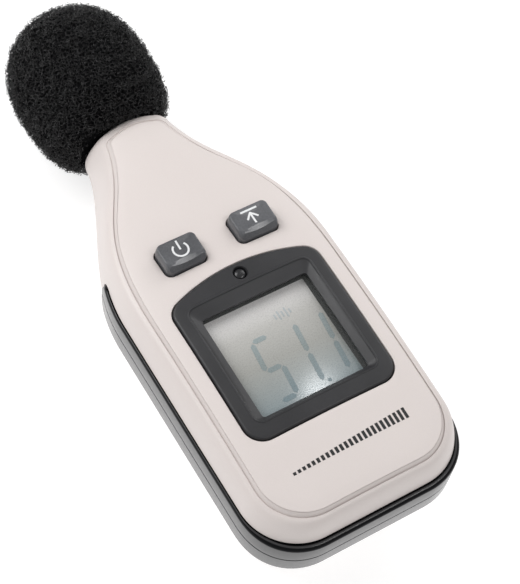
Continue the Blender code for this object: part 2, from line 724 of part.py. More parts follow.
def make_microphone():
    centre = (0.0, 0.0, PARTING_Z)
    low, high = MIC_Y
    wall = [(MIC_BORE, low), (MIC_RADIUS, low), (MIC_RADIUS, 102.6), (7.1, 102.6), (7.1, 104.2),
            (MIC_RADIUS, 104.2), (MIC_RADIUS, high), (MIC_BORE, high)]
    turned("microphone_tube", wall, centre, "y", "black_plastic", sides=32, hollow=True)
    sleeve = [(3.3, 122.0), (MIC_BORE - GAP, 122.0), (MIC_BORE - GAP, 128.6), (3.3, 128.6)]
    turned("microphone_holder", sleeve, centre, "y", "rubber", hollow=True)
    turned("microphone_capsule", [(2.6, 122.2), (3.0, 122.4), (3.0, 127.4), (2.6, 127.6)], centre, "y", "steel")
    cap = turned("microphone_cap", [(MIC_BORE - GAP, 128.9), (MIC_BORE - GAP, 130.2), (4.7, 130.7)],
                 centre, "y", "brass")
    for i in range(7):
        radius = 0.0 if i == 6 else 2.8
        a = math.radians(60 * i)
        spot = (radius * math.cos(a), 0.0, PARTING_Z + radius * math.sin(a))
        hole = turned(f"cap_hole_{i}", [(0.75, 127.0), (0.75, 133.0)], spot, "y", sides=10)
        combine(cap, hole)


def foam_profile():
    """Outside of the windscreen from its mouth to its crown, as (radius, y)."""
    low, high = FOAM_Y
    profile = []
    for i in range(7):
        t = 1 - i / 7
        fullness = (1 - (0.97 * t) ** 3.6) ** (1 / 3.6)
        profile.append((FOAM_RADIUS * fullness * (1 - 0.03 * t), mix(FOAM_WIDEST_Y, low, t)))
    for i in range(9):
        t = math.sin(math.radians(90 * i / 8))
        if i < 8:
            radius = FOAM_RADIUS * (1 - t**2.35) ** (1 / 2.35)
            profile.append((radius, mix(FOAM_WIDEST_Y, high, t)))
    profile.append((0.05, high))
    return profile


def make_windscreen():
    bore = MIC_RADIUS + GAP
    rings = []
    for radius, y in ((0.05, FOAM_BORE_Y), (bore, FOAM_BORE_Y), (bore, FOAM_Y[0])):
        rings.append(circle_y((0.0, y, PARTING_Z), radius, 36))
    for radius, y in foam_profile():
        x = FOAM_SHIFT[0] + FOAM_LEAN[0] * (y - FOAM_Y[0])
        z = PARTING_Z + FOAM_SHIFT[1] + FOAM_LEAN[1] * (y - FOAM_Y[0])
        rings.append(circle_y((x, y, z), radius, 36))
    foam = loft("windscreen", rings, "foam")
    move_origin(foam, (0.0, FOAM_Y[0], PARTING_Z))


def main():
    for piece in list(bpy.data.objects):
        bpy.data.objects.remove(piece)
    front = make_front_shell()
    rear = make_rear_shell()
    fit_case(front, rear)
    door = make_battery_door()
    move_origin(door, (0.0, DOOR_Y, 0.0))
    bumper_band("side_bumper", "dark_grip")
    make_display(make_bezel())
    for word, x in (("power", -BUTTON_X), ("max", BUTTON_X)):
        make_button(f"{word}_button", x)
        make_switch(word, x)
    make_board()
    make_battery_bay()
    make_leads()
    make_microphone()
    make_windscreen()
    make_screws()


main()
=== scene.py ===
from math import atan2, cos, degrees, hypot, pi, radians, sin, sqrt

import bmesh
import bpy
import numpy as np
from mathutils import Matrix, Vector


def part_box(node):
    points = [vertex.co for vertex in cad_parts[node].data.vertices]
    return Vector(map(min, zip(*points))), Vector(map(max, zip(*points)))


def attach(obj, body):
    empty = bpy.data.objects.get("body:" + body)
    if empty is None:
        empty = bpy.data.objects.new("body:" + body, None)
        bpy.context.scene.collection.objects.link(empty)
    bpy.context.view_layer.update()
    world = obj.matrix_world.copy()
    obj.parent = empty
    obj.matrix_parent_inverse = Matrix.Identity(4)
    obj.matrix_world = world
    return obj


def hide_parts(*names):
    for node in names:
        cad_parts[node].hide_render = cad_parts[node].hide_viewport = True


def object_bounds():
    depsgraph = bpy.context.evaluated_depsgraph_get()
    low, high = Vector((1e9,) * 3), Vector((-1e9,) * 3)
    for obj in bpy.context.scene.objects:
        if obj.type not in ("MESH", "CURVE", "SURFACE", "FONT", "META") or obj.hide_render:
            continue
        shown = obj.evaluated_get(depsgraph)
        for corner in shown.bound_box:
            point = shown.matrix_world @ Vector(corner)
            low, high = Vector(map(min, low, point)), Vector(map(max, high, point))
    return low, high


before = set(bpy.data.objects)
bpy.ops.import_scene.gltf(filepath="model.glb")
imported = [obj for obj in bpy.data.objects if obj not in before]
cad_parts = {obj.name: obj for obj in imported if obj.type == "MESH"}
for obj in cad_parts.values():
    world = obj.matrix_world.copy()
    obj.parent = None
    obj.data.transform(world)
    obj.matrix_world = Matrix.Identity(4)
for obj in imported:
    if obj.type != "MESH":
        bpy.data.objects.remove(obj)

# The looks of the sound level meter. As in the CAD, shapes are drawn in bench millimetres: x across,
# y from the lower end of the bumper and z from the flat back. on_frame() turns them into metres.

MM = 0.001
WELD = 0.002 * MM
CAD_BOX = [list(corner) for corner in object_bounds()]
LENGTH = (CAD_BOX[1][1] - CAD_BOX[0][1]) / MM
GAP = 0.3
PARTING_Z = 19.5


def limits(node):
    """A CAD node's limits along x, y and z at rest, in bench millimetres."""
    low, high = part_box(node)
    shift = (0, LENGTH / 2, 0)
    return [(low[k] / MM + shift[k], high[k] / MM + shift[k]) for k in range(3)]


def middle(pair):
    return (pair[0] + pair[1]) / 2


# Outlines of the casing: at the parting, the rim of the panel's step, the panel, the back, and inside
OUTLINE_PARTS = ("half", "low", "corner", "start", "guide", "neck_guide", "neck", "top", "neck_corner", "bow")
CASE, RIM, PANEL, BACK, CAVITY, FLOOR = (dict(zip(OUTLINE_PARTS, row)) for row in (
    (26.7, 1.3, 13.5, 65.9, (26.7, 83.4), (13.4, 98.1), 11.8, 112.3, 1.5, 1),
    (23.3, 4.2, 11.4, 60.2, (23.3, 88.4), (12.3, 90.8), 8.1, 110.1, 2.4, 0.8),
    (22.4, 5.1, 10.7, 58, (22.4, 90), (12, 88), 7, 109.2, 1.8, 0.8),
    (19.2, 14, 7.5, 62, (19.2, 79.5), (6.8, 99), 4.8, 107.5, 2.2, 0.3),
    (22.3, 5.7, 9.5, 62, (22.3, 80), (8.9, 98), 7.4, 107.1, 1, 0),
    (18.5, 14, 7, 62, (18.5, 78), (6.5, 97), 5, 105.5, 1, 0),
))
SPINE = (22, 102)
FACE_TOP = 35.2
FACE_CREST_Y = 42
FACE_RADIUS = 425
PANEL_DOME = (1, 1.4)
PANEL_STEP = (1.3, 0.7)
PANEL_ROLL = 0.15
PANEL_EDGE = (  # from the rim inwards to the panel, with the share of the panel's rise
    (0.03, 0.03), (0.06, 0.02), (0.11, -0.22), (0.18, -0.25), (0.24, -0.08), (0.34, 0), (0.46, 0.12),
    (0.58, 0.27), (0.7, 0.45), (0.8, 0.62), (0.85, 0.7), (0.87, 0.6), (0.93, 0.62), (0.96, 0.8),
    (0.98, 0.84), (1, 0.85))
RIM_EASE = 0.12
SIDE_SQUARENESS = (2.25, 1.4)
BACK_SQUARENESS = 1.75
WALL = 2
HUMP = (86.5, 95.5)
NECK_BACK_Z = 8.6
SIDE_SPREADS = [1 - cos(pi / 2 * i / 18) for i in range(19)]

BUMPER_Z = limits("side_bumper")[2]
BUMPER_TOP = limits("side_bumper")[1][1]
BUMPER_DEPTH = 1.8
BUMPER_PROUD = (0.45, 1.3)
BUMPER_END_RADIUS = 3

PLATE_PARTS = ("half", "low", "high", "low_radius", "high_radius", "arch")
BEZEL, BEZEL_RIM, DISPLAY_OPENING, WINDOW_SEAT = (dict(zip(PLATE_PARTS, row)) for row in (
    (18.75, 23.6, 64.05, 4.5, 3.9, 47), (15.4, 27.7, 58.3, 1.8, 1.8), (13.5, 28.6, 55.2, 0.7, 0.7),
    (16.8, 25.2, 58.8, 1.2, 1.2)))
BEZEL_PROUD = 0.45
BEZEL_FOOT_Z = limits("display_bezel")[2][0]
OPENING_Z = 34.1
SENSOR_Y = middle(limits("light_sensor")[1])
SENSOR_RADIUS = 1.4
LCD_TOP = limits("lcd_cell")[2][1]
LCD_LEDGE = 25.9
# Greys along the display from its lower end to its far end: painted light and shade, darker low and paler far
DISPLAY_PAINTED_LIGHT_GREYS = ((0.05, (0.2, 0.25, 0.265)), (0.45, (0.33, 0.325, 0.3)), (0.75, (0.49, 0.475, 0.45)),
                 (0.97, (0.76, 0.735, 0.725)))

BUTTON_HOLE = (5.4, 3.9)
BUTTON_Y = 71.6
KEY_HOLLOW = 0.12
KEY_CUTS = ((-1.75, 0, 0.49, 1.1), (-2.85, 0.54, 1.6, 0))  # start, drop, slope and bow of each
LEGEND_WIDTH = 0.46
LEVEL_BARS = 25
HOLE_EASE = 0.22

DOOR_Z = 7.2
DOOR_Y = 67.95
DOOR_CORNER = 4
BAY_Y = (15.3, 66)
BAY_HALF = 17.4
BAY_WALL = 1.3
BAY_RIM_Z = 5.2
TRAY_Z = (14.2, 15.4)
CELL_GAP_X = 5.75
TONGUE_HALF = 1.6
GRIP_GROOVE = ((-0.15, -0.5), (1.05, -0.5), (0.95, 0.05), (0.75, 0.4), (0.15, 0.4), (-0.05, 0.05))
BOSS_RADIUS = 3
SHAFT_RADIUS = 1.4
FOOT_SCREW = (16.5, 9.6)
SHOULDER_SCREW = (12.2, 83)
SCREW_HEAD_Z = 9.7
SPRING_WIRE = 0.35

MIC_RADIUS = 6.35
MIC_BORE = 5.5
MIC_Y = limits("microphone_tube")[1]

FOAM_Y = limits("windscreen")[1]
FOAM_WIDEST_Y = 130
FOAM_RADIUS = 17.55
FOAM_SHIFT = (-1.6, 0.9)
FOAM_LEAN = (-0.017, 0.068)
FOAM_CELL = 1.06
FOAM_NET_DEPTH = 1
FOAM_STRUT = 0.07
FOAM_RAGGED = (-0.65, 0.22)
FOAM_LUMPS = 0.2
FOAM_SEED = 11
FOAM_BORE_END = 131.5
COLLAR_TOP_Z = 27.6


# Shape helpers


def on_frame(point):
    x, y, z = point
    return (x * MM, (y - LENGTH / 2) * MM, z * MM)


def mix(a, b, t):
    return a + (b - a) * t


def smooth(low, high, value):
    t = min(max((value - low) / (high - low), 0), 1)
    return t * t * (3 - 2 * t)


def arc(centre, radius, start, end, steps):
    """Points on an arc, angles in degrees, both ends included."""
    points = []
    for i in range(steps + 1):
        a = radians(mix(start, end, i / steps))
        points.append((centre[0] + radius * cos(a), centre[1] + radius * sin(a)))
    return points


def straight(start, end, steps):
    """Points from start to just short of end."""
    return [tuple(mix(p, q, i / steps) for p, q in zip(start, end)) for i in range(steps)]


def mirrored(half):
    """A closed outline from its right half, which starts and ends on the middle line."""
    return half + [(-x, y) for x, y in half[-2:0:-1]]


def link(name, data):
    """A new object in the scene."""
    thing = bpy.data.objects.new(name, data)
    bpy.context.scene.collection.objects.link(thing)
    return thing


def mend(piece, carved, angle):
    """Weld doubled points, and drop a carved piece's slivers or turn a new one's faces outwards."""
    shape = bmesh.new()
    shape.from_mesh(piece.data)
    bmesh.ops.remove_doubles(shape, verts=shape.verts, dist=WELD)
    if carved:
        bmesh.ops.dissolve_degenerate(shape, edges=shape.edges, dist=WELD / 2)
    else:
        bmesh.ops.recalc_face_normals(shape, faces=shape.faces)
    shape.to_mesh(piece.data)
    shape.free()
    piece.data.shade_smooth()
    piece.data.set_sharp_from_angle(angle=radians(angle))


def add_piece(name, points, faces, body, angle=32):
    """A mesh piece from bench points, smooth but for edges sharper than angle, riding on a body."""
    mesh = bpy.data.meshes.new(name)
    mesh.from_pydata([on_frame(point) for point in points], [], faces)
    piece = link(name, mesh)
    mend(piece, False, angle)
    if body:
        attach(piece, body)
    return piece


def loft(name, rings, body="case", caps=True, closed=False, angle=32):
    """Rings of equally many points, skinned in order. closed joins the last ring to the first."""
    size = len(rings[0])
    count = len(rings)
    faces = []
    for r in range(count if closed else count - 1):
        here = r * size
        there = (r + 1) % count * size
        for i in range(size):
            j = (i + 1) % size
            faces.append((here + i, here + j, there + j, there + i))
    if caps and not closed:
        faces.append(tuple(range(size))[::-1])
        faces.append(tuple(range((count - 1) * size, count * size)))
    return add_piece(name, [point for ring in rings for point in ring], faces, body, angle)


def prism(name, outline, low, high, body=None):
    """A flat outline raised from low to high."""
    return loft(name, [at_height(outline, z) for z in (low, high)], body)


def at_height(outline, z):
    """A flat outline as bench points. z is one height, or a function of x and y."""
    return [(x, y, z(x, y) if callable(z) else z) for x, y in outline]


def block(name, x, y, z):
    return prism(name, [(x[0], y[0]), (x[1], y[0]), (x[1], y[1]), (x[0], y[1])], *z)


def circle(centre, radius, axis, sides):
    """A ring of points round a line along Y or Z."""
    x, y, z = centre
    ring = []
    for i in range(sides):
        a = 2 * pi * i / sides
        across = radius * cos(a)
        around = radius * sin(a)
        ring.append((x + across, y + around, z) if axis == "z" else (x + across, y, z - around))
    return ring


def turned(name, profile, centre, axis, body=None, sides=64, hollow=False):
    """A profile of (radius, distance along the axis) turned about a line through centre."""
    x, y, z = centre
    rings = []
    for radius, along in profile:
        here = (x, y, z + along) if axis == "z" else (x, y + along, z)
        rings.append(circle(here, radius, axis, sides))
    return loft(name, rings, body, closed=hollow)


def carve(piece, steps, angle=32):
    """Apply Booleans in order: steps are (sign, cutter). The cutters are removed."""
    for sign, cutter in steps:
        modifier = piece.modifiers.new(cutter.name, "BOOLEAN")
        modifier.operation = {"+": "UNION", "-": "DIFFERENCE", "&": "INTERSECT"}[sign]
        modifier.solver = "EXACT"
        modifier.object = cutter
    result = bpy.data.meshes.new_from_object(piece.evaluated_get(bpy.context.evaluated_depsgraph_get()))
    piece.modifiers.clear()
    piece.data = result
    for sign, cutter in steps:
        bpy.data.objects.remove(cutter)
    mend(piece, True, angle)


def dress(piece, finish, node=None):
    """Give a piece its finish. In place of a CAD node it hides that node."""
    piece.data.materials.clear()
    piece.data.materials.append(FINISHES[finish])
    if node:
        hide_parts(node)


# Casing


def blend(a, b, t):
    """The casing outline that lies t of the way from outline a to outline b."""
    return {key: tuple(mix(p, q, t) for p, q in zip(value, b[key])) if isinstance(value, tuple)
            else mix(value, b[key], t) for key, value in a.items()}


def bezier(ends, t):
    """A point on the cubic curve led by four guide points."""
    weights = ((1 - t) ** 3, 3 * t * (1 - t) ** 2, 3 * t * t * (1 - t), t**3)
    return tuple(sum(w * end[k] for w, end in zip(weights, ends)) for k in range(2))


def case_outline(half, low, corner, start, guide, neck_guide, neck, top, neck_corner, bow):
    points = straight((0, low), (half - corner, low), 8)
    points += arc((half - corner, low + corner), corner, -90, 0, 20)
    points += straight((half, low + corner), (half, start), 14)[1:]
    ends = ((half, start), guide, neck_guide, (neck, top - neck_corner))
    points += [bezier(ends, i / 40) for i in range(41)]
    flat = neck - neck_corner
    points += arc((flat, top - neck_corner), neck_corner, 0, 90, 7)[1:]
    points += [(x, y + bow * (1 - (x / flat) ** 2)) for x, y in straight((flat, top), (0, top), 10)[1:]]
    return mirrored(points + [(0, top + bow)])


def face_z(y):
    return FACE_TOP - (y - FACE_CREST_Y) ** 2 / (2 * FACE_RADIUS)


def panel_z(x, y):
    """Height of the display panel, which falls a little towards both sides."""
    half = mix(RIM["half"], RIM["neck"], smooth(66, 112, y))
    dome = mix(*PANEL_DOME, smooth(80, 104, y))
    return face_z(y) - dome * min(abs(x) / half, 1.1) ** 2


def rim_z(x, y):
    return panel_z(x, y) - mix(*PANEL_STEP, smooth(94, 107, y))


def back_z(y):
    return NECK_BACK_Z * smooth(*HUMP, y)


def fullness(spread, squareness):
    return (1 - (1 - spread) ** squareness) ** (1 / squareness)


def side_outline(inner, spread):
    """An outline between the parting outline and the inner one. The collar's end stays square."""
    outline = blend(CASE, inner, spread)
    outline["top"] = mix(CASE["top"], inner["top"], max(spread - 0.35, 0) ** 6 / 0.65**6)
    return case_outline(**outline)


def to_spine(outline, t):
    low, high = SPINE
    return [(x * (1 - t), mix(y, min(max(y, low), high), t)) for x, y in outline]


def front_rings():
    """Inside of the panel, inner wall, eased rim, outer side, groove, step and outside of the panel."""
    rings = []
    base = PARTING_Z + GAP / 2
    cavity = case_outline(**CAVITY)
    for t in (1, 0.7, 0.4, 0.12):
        rings.append(at_height(to_spine(cavity, t), lambda x, y: panel_z(x, y) - WALL))
    rings.append(at_height(cavity, lambda x, y: face_z(y) - 4.2))
    rings.append(at_height(cavity, base))
    rings.append(at_height(side_outline(RIM, 0.03), base))
    base += RIM_EASE
    for spread in SIDE_SPREADS:
        ring = []
        for x, y in side_outline(RIM, spread):
            rise = fullness(spread, mix(*SIDE_SQUARENESS, smooth(85, 105, y)))
            ring.append((x, y, mix(base, rim_z(x, y), rise)))
        rings.append(ring)
    for inwards, rise in PANEL_EDGE:
        outline = case_outline(**blend(RIM, PANEL, inwards))
        rings.append(at_height(outline, lambda x, y: mix(rim_z(x, y), panel_z(x, y), rise)))
    for t in (0.01, 0.025, 0.045, 0.07, 0.1, 0.13, 0.16, 0.25, 0.38, 0.52, 0.66, 0.8, 0.91, 1):
        drop = PANEL_ROLL * max(1 - t / 0.16, 0) ** 2
        rings.append(at_height(to_spine(case_outline(**PANEL), t),
                               lambda x, y: panel_z(x, y) - drop * (panel_z(x, y) - rim_z(x, y))))
    return rings


def rear_rings():
    """Inside of the back, inner wall, eased rim, outer side and outside of the back."""
    rings = []
    base = PARTING_Z - GAP / 2
    floor = case_outline(**FLOOR)
    for t in (1, 0.6, 0.25):
        rings.append(at_height(to_spine(floor, t), lambda x, y: back_z(y) + WALL))
    for inwards, downwards in ((1, 1), (0.7, 0.92), (0.25, 0.76), (0, 0.53), (0, 0)):
        outline = case_outline(**blend(CAVITY, FLOOR, inwards))
        rings.append(at_height(outline, lambda x, y: mix(base, back_z(y) + WALL, downwards)))
    rings.append(at_height(side_outline(BACK, 0.02), base))
    base -= RIM_EASE
    for spread in SIDE_SPREADS:
        drop = fullness(spread, BACK_SQUARENESS)
        rings.append(at_height(side_outline(BACK, spread), lambda x, y: mix(base, back_z(y), drop)))
    for t in (0.08, 0.2, 0.35, 0.5, 0.65, 0.8, 1):
        rings.append(at_height(to_spine(case_outline(**BACK), t), lambda x, y: back_z(y)))
    return rings


def bumper_path(top):
    """The line that the bumper follows: half of it, from the middle of the lower end, mirrored."""
    side = [(x, y) for x, y in case_outline(**CASE) if x > 0 and y < 100]
    right = [(x, y) for x, y in side if y < top - BUMPER_END_RADIUS]
    for i in range(17):
        y = top - BUMPER_END_RADIUS * cos(pi / 2 * i / 16)
        right.append((float(np.interp(y, [p[1] for p in side], [p[0] for p in side])), y))
    return [(-x, y) for x, y in right[::-1]] + [(0, CASE["low"])] + right


def bumper_section(proud, tall, clearance):
    """Cross-section as (outwards, upwards): flat back, rounded lips, a groove at half height
    and a fine crest beside the gap to the shell. With a clearance it is a plain cutter's."""
    back = -BUMPER_DEPTH - clearance
    if clearance:
        return [(back, -tall), (proud, -tall), (proud, tall), (back, tall)]
    lip = min(1, tall - 0.6)
    lower = arc((proud - lip, -tall + lip), lip, -90, 0, 8)
    groove = [(proud - cut, up) for cut, up in ((0, -0.24), (0.05, -0.17), (0.22, -0.09), (0.22, 0.09),
                                                (0.05, 0.17), (0, 0.24))]
    inner = proud - min(1.05, proud)
    turns = [pi / 24 * i for i in range(12)]
    upper = [(mix(inner, proud, cos(a)), tall - lip + lip * sin(a)) for a in turns]
    rim = ((0.05, 0), (-0.06, 0), (-0.12, 0.05), (-0.2, 0.45))
    upper += [(inner + out, tall - down) for out, down in rim]
    return [(back, -tall)] + lower + groove + upper + [(back, tall - 0.45)]


def bumper_band(name, body=None, clearance=0, outwards=0):
    top = BUMPER_TOP + clearance
    path = bumper_path(top)
    half = (BUMPER_Z[1] - BUMPER_Z[0]) / 2 + clearance
    rings = []
    for i, (x, y) in enumerate(path):
        tangent = (Vector(path[min(i + 1, len(path) - 1)]) - Vector(path[max(i - 1, 0)])).normalized()
        proud = mix(BUMPER_PROUD[1], BUMPER_PROUD[0], smooth(2, 15, y)) + outwards
        left = max(BUMPER_END_RADIUS - (top - y), 0)
        cut = BUMPER_END_RADIUS - sqrt(max(BUMPER_END_RADIUS**2 - left**2, 0))
        tall = half - min(cut, BUMPER_END_RADIUS * 0.85)
        rings.append([(x + tangent.y * out, y - tangent.x * out, middle(BUMPER_Z) + up)
                      for out, up in bumper_section(proud, tall, clearance)])
    return loft(name, rings, body)


def door_zone(name, clearance):
    """The part of the back that the battery door takes, less or plus a clearance."""
    top = DOOR_Y + clearance
    deep = DOOR_Z + clearance
    profile = [(-5, -5), (top, -5)]
    profile += arc((top - DOOR_CORNER, deep - DOOR_CORNER), DOOR_CORNER, 0, 90, 12)
    profile += [(-5, deep)]
    return loft(name, [[(x, y, z) for y, z in profile] for x in (-30, 30)], None)


# Display and button outlines


def plate_outline(half, low, high, low_radius, high_radius, arch=2000, inset=0):
    """A rounded rectangle whose upper edge is an arc of radius arch."""
    half, low, high, arch = half - inset, low + inset, high - inset, arch - inset
    low_radius = max(low_radius - inset, 0.3)
    high_radius = max(high_radius - inset, 0.3)
    reach = sqrt((arch - high_radius) ** 2 - (half - high_radius) ** 2)
    corner_y = high - arch + reach
    turn = degrees(atan2(reach, half - high_radius))
    points = straight((0, low), (half - low_radius, low), 6)
    points += arc((half - low_radius, low + low_radius), low_radius, -90, 0, 12)
    points += straight((half, low + low_radius), (half, corner_y), 10)[1:]
    points += arc((half - high_radius, corner_y), high_radius, 0, turn, 12)
    points += arc((0, high - arch), arch, turn, 90, 14)[1:]
    return mirrored(points)


def rounded_rect(centre, half_x, half_y, radius, steps=10):
    points = []
    for sx, sy, start in ((1, -1, -90), (1, 1, 0), (-1, 1, 90), (-1, -1, 180)):
        corner = (centre[0] + sx * (half_x - radius), centre[1] + sy * (half_y - radius))
        points += arc(corner, radius, start, start + 90, steps)
    return points


def eased_hole(name, outline_at):
    """A cutter for a hole in the panel, flared where it leaves the surface so that the edge is soft."""
    rings = [at_height(outline_at(0), 28)]
    for a in (0, 30, 60, 90):
        out = HOLE_EASE * (1 - cos(radians(a)))
        below = HOLE_EASE * (1 - sin(radians(a)))
        rings.append(at_height(outline_at(out), lambda x, y: panel_z(x, y) - below))
    rings.append(at_height(outline_at(0.4), lambda x, y: panel_z(x, y) + 0.1))
    rings.append(at_height(outline_at(0.5), 40))
    return loft(name, rings, None)


# Materials


PATCH = 14


class Finish:
    """A procedural material: a Principled shader with helpers for its colour, gloss and relief."""

    def __init__(self, name, roughness, metallic=0, **settings):
        self.material = bpy.data.materials.new(name)
        self.material.use_nodes = True
        self.nodes = self.material.node_tree.nodes
        self.shader = self.nodes["Principled BSDF"]
        for socket, value in {"roughness": roughness, "metallic": metallic, **settings}.items():
            self.put(socket.replace("_", " ").title().replace("Ior", "IOR"), value)
        self.place = self.node("TexCoord", "Object")

    def feed(self, socket, value):
        if isinstance(value, bpy.types.NodeSocket):
            self.material.node_tree.links.new(value, socket)
        else:
            socket.default_value = value

    def put(self, socket, value):
        """Set or link an input of the shader."""
        self.feed(self.shader.inputs[socket], value)

    def node(self, kind, output, inputs=None, **settings):
        """The output of a new node. Its inputs are numbers or links."""
        node = self.nodes.new("ShaderNode" + kind)
        for key, value in settings.items():
            setattr(node, key, value)
        for socket, value in (inputs or {}).items():
            self.feed(node.inputs[socket], value)
        return node.outputs[output]

    def clouds(self, size, detail=3, scale=None):
        """Noise whose features are about size millimetres."""
        place = self.place
        if scale:
            place = self.node("Mapping", "Vector", {"Scale": scale, "Vector": place})
        return self.node("TexNoise", "Fac", {"Scale": 1 / (size * MM), "Detail": detail, "Roughness": 0.55,
                                             "Vector": place})

    def along(self, axis):
        return self.node("SeparateXYZ", axis, {0: self.place})

    def ramp(self, source, *stops):
        output = self.node("ValToRGB", "Color", {0: source})
        elements = output.node.color_ramp.elements
        while len(elements) < len(stops):
            elements.new(0.5)
        for element, (position, colour) in zip(elements, stops):
            element.position = position
            element.color = (*colour, 1)
        return output

    def shades(self, source, dark, light):
        return self.ramp(source, (0.3, dark), (0.7, light))

    def remap(self, source, low, high, to_low, to_high):
        return self.node("MapRange", "Result", {"Value": source, "From Min": low, "From Max": high,
                                                "To Min": to_low, "To Max": to_high})

    def blend(self, first, second, factor, mode="MIX"):
        return self.node("Mix", 2, {0: factor, 6: first, 7: second}, data_type="RGBA", blend_type=mode)

    def times(self, first, second):
        return self.node("Math", 0, {0: first, 1: second}, operation="MULTIPLY")

    def colour(self, source):
        self.put("Base Color", source)

    def gloss(self, source, low, high):
        self.put("Roughness", self.remap(source, 0.3, 0.7, low, high))

    def relief(self, *layers):
        """Bump layers of (height source, depth in millimetres, strength)."""
        below = {}
        for source, depth, strength in layers:
            inputs = {"Strength": strength, "Distance": depth * MM, "Height": source, **below}
            below = {"Normal": self.node("Bump", "Normal", inputs)}
        self.put("Normal", below["Normal"])


def moulded(name, dark, light, roughness, grain=0.35, depth=0.012, spread=0.08):
    """Moulded plastic: two close shades in soft clouds and a fine spark-eroded grain."""
    finish = Finish(name, roughness)
    fine = finish.clouds(grain, 2)
    broad = finish.shades(finish.clouds(PATCH, 2), dark, light)
    finish.colour(finish.blend(broad, finish.shades(fine, dark, light), 0.3))
    finish.gloss(fine, roughness - spread, roughness + spread)
    finish.relief((fine, depth, 0.6), (finish.clouds(PATCH * 0.35, 1), depth * 2, 0.25))
    return finish.material


def machined(name, dark, light, roughness):
    """Metal with fine drawn or turned marks."""
    finish = Finish(name, roughness, 1)
    marks = finish.clouds(0.25)
    finish.colour(finish.ramp(marks, (0.25, dark), (0.75, light)))
    finish.gloss(finish.clouds(1.5), roughness - 0.07, roughness + 0.12)
    finish.relief((marks, 0.01, 0.35))
    return finish.material


def shell_finish():
    """Warm white ABS: satin, faintly mottled, with the fine grain of a spark-eroded mould."""
    finish = Finish("warm_white_abs", 0.42)
    fine = finish.clouds(0.3, 2)
    base = finish.shades(finish.clouds(26, 2), (0.672, 0.612, 0.59), (0.695, 0.637, 0.615))
    specks = finish.shades(fine, (0.66, 0.6, 0.578), (0.706, 0.648, 0.626))
    finish.colour(finish.blend(base, specks, 0.35))
    finish.gloss(fine, 0.36, 0.5)
    finish.relief((fine, 0.012, 0.5), (finish.clouds(5, 1), 0.02, 0.2))
    return finish.material


def grip_finish():
    """Dark satin plastic, with a black band of painted shade on the lip that faces the shell."""
    finish = Finish("grip_plastic", 0.3, coat_roughness=0.24)
    tone = finish.shades(finish.clouds(9, 2), (0.018, 0.017, 0.019), (0.026, 0.025, 0.027))
    height = finish.along("Z")

    def fade(below_top, higher, start, end):
        """A value that goes from start to end between two depths under the band's upper edge."""
        return finish.remap(height, (BUMPER_Z[1] - below_top) * MM, (BUMPER_Z[1] - higher) * MM, start, end)

    # A black band of painted shade along the lip, with less reflection, stopping below the crest at the upper
    # edge
    black = finish.times(fade(0.95, 0.75, 0, 1), fade(0.1, 0.05, 1, 0))
    finish.colour(finish.blend(tone, (0.004, 0.004, 0.005, 1), black))
    bare = finish.remap(black, 0, 1, 1, 0)
    finish.put("Coat Weight", finish.times(fade(6, 0.8, 0.75, 0.3), bare))
    finish.put("Specular IOR Level", finish.remap(black, 0, 1, 0.5, 0.12))
    fine = finish.clouds(0.5, 2)
    finish.gloss(fine, 0.28, 0.34)
    finish.relief((fine, 0.002, 0.3))
    return finish.material


def board_finish():
    """Green solder mask over copper tracks."""
    finish = Finish("solder_mask", 0.3, coat_weight=0.4)
    tracks = finish.node("TexVoronoi", "Distance", {"Scale": 1 / (3.2 * MM), "Vector": finish.place},
                         feature="DISTANCE_TO_EDGE")
    lines = finish.ramp(tracks, (0, (0.035, 0.23, 0.07)), (0.12, (0.035, 0.23, 0.07)),
                        (0.16, (0.012, 0.1, 0.035)), (1, (0.01, 0.085, 0.03)))
    mask = finish.shades(finish.clouds(9), (0.012, 0.11, 0.04), (0.02, 0.14, 0.05))
    finish.colour(finish.blend(lines, mask, 0.35))
    finish.gloss(finish.clouds(2), 0.24, 0.36)
    finish.relief((tracks, 0.03, 0.5))
    return finish.material


def foam_finish(name, dark, light, roughness, shine, grain):
    finish = Finish(name, roughness, specular_ior_level=shine)
    finish.colour(finish.shades(finish.clouds(grain), dark, light))
    finish.relief((finish.clouds(0.25, 2), 0.03, 0.6))
    return finish.material


def display_finish(name, tint, coat):
    """Reflective LCD glass: grey, with painted light and shade that makes it darker at the lower end and
    paler towards the far end. A tint makes the darkened segments.
    """
    finish = Finish(name, 0.28, coat_weight=coat, coat_roughness=0.08)
    weave = finish.clouds(0.35, 2)
    low, high = ((DISPLAY_OPENING[end] - LENGTH / 2) * MM for end in ("low", "high"))
    # Painted light and shade: the grey rises from the display's lower end to its far end
    rise = finish.remap(finish.along("Y"), low, high, 0, 1)
    stops = [(place, tuple(a * b for a, b in zip(grey, tint))) for place, grey in DISPLAY_PAINTED_LIGHT_GREYS]
    grain = finish.shades(weave, (0.9, 0.9, 0.9), (1, 1, 1))
    finish.colour(finish.blend(finish.ramp(rise, *stops), grain, 1, "MULTIPLY"))
    finish.gloss(weave, 0.24, 0.34)
    finish.relief((weave, 0.006, 0.3))
    return finish.material


def window_finish():
    """Clear acrylic: only its reflection, stronger at a low angle, and a faint tint show."""
    finish = Finish("clear_acrylic", 0.07, ior=1.49)
    haze = finish.clouds(9, 2)
    finish.colour(finish.shades(haze, (0.8, 0.83, 0.81), (0.86, 0.88, 0.86)))
    finish.gloss(haze, 0.05, 0.1)
    clear = finish.node("BsdfTransparent", 0, {"Color": (0.995, 0.998, 1, 1)})
    facing = finish.node("LayerWeight", "Facing", {"Blend": 0.5})
    steep = finish.node("Math", 0, {0: facing, 1: 5}, operation="POWER")
    mirrors = finish.remap(steep, 0, 1, 0.032, 1)
    seen = finish.node("MixShader", 0, {0: mirrors, 1: clear, 2: finish.shader.outputs[0]})
    finish.feed(finish.nodes["Material Output"].inputs["Surface"], seen)
    return finish.material


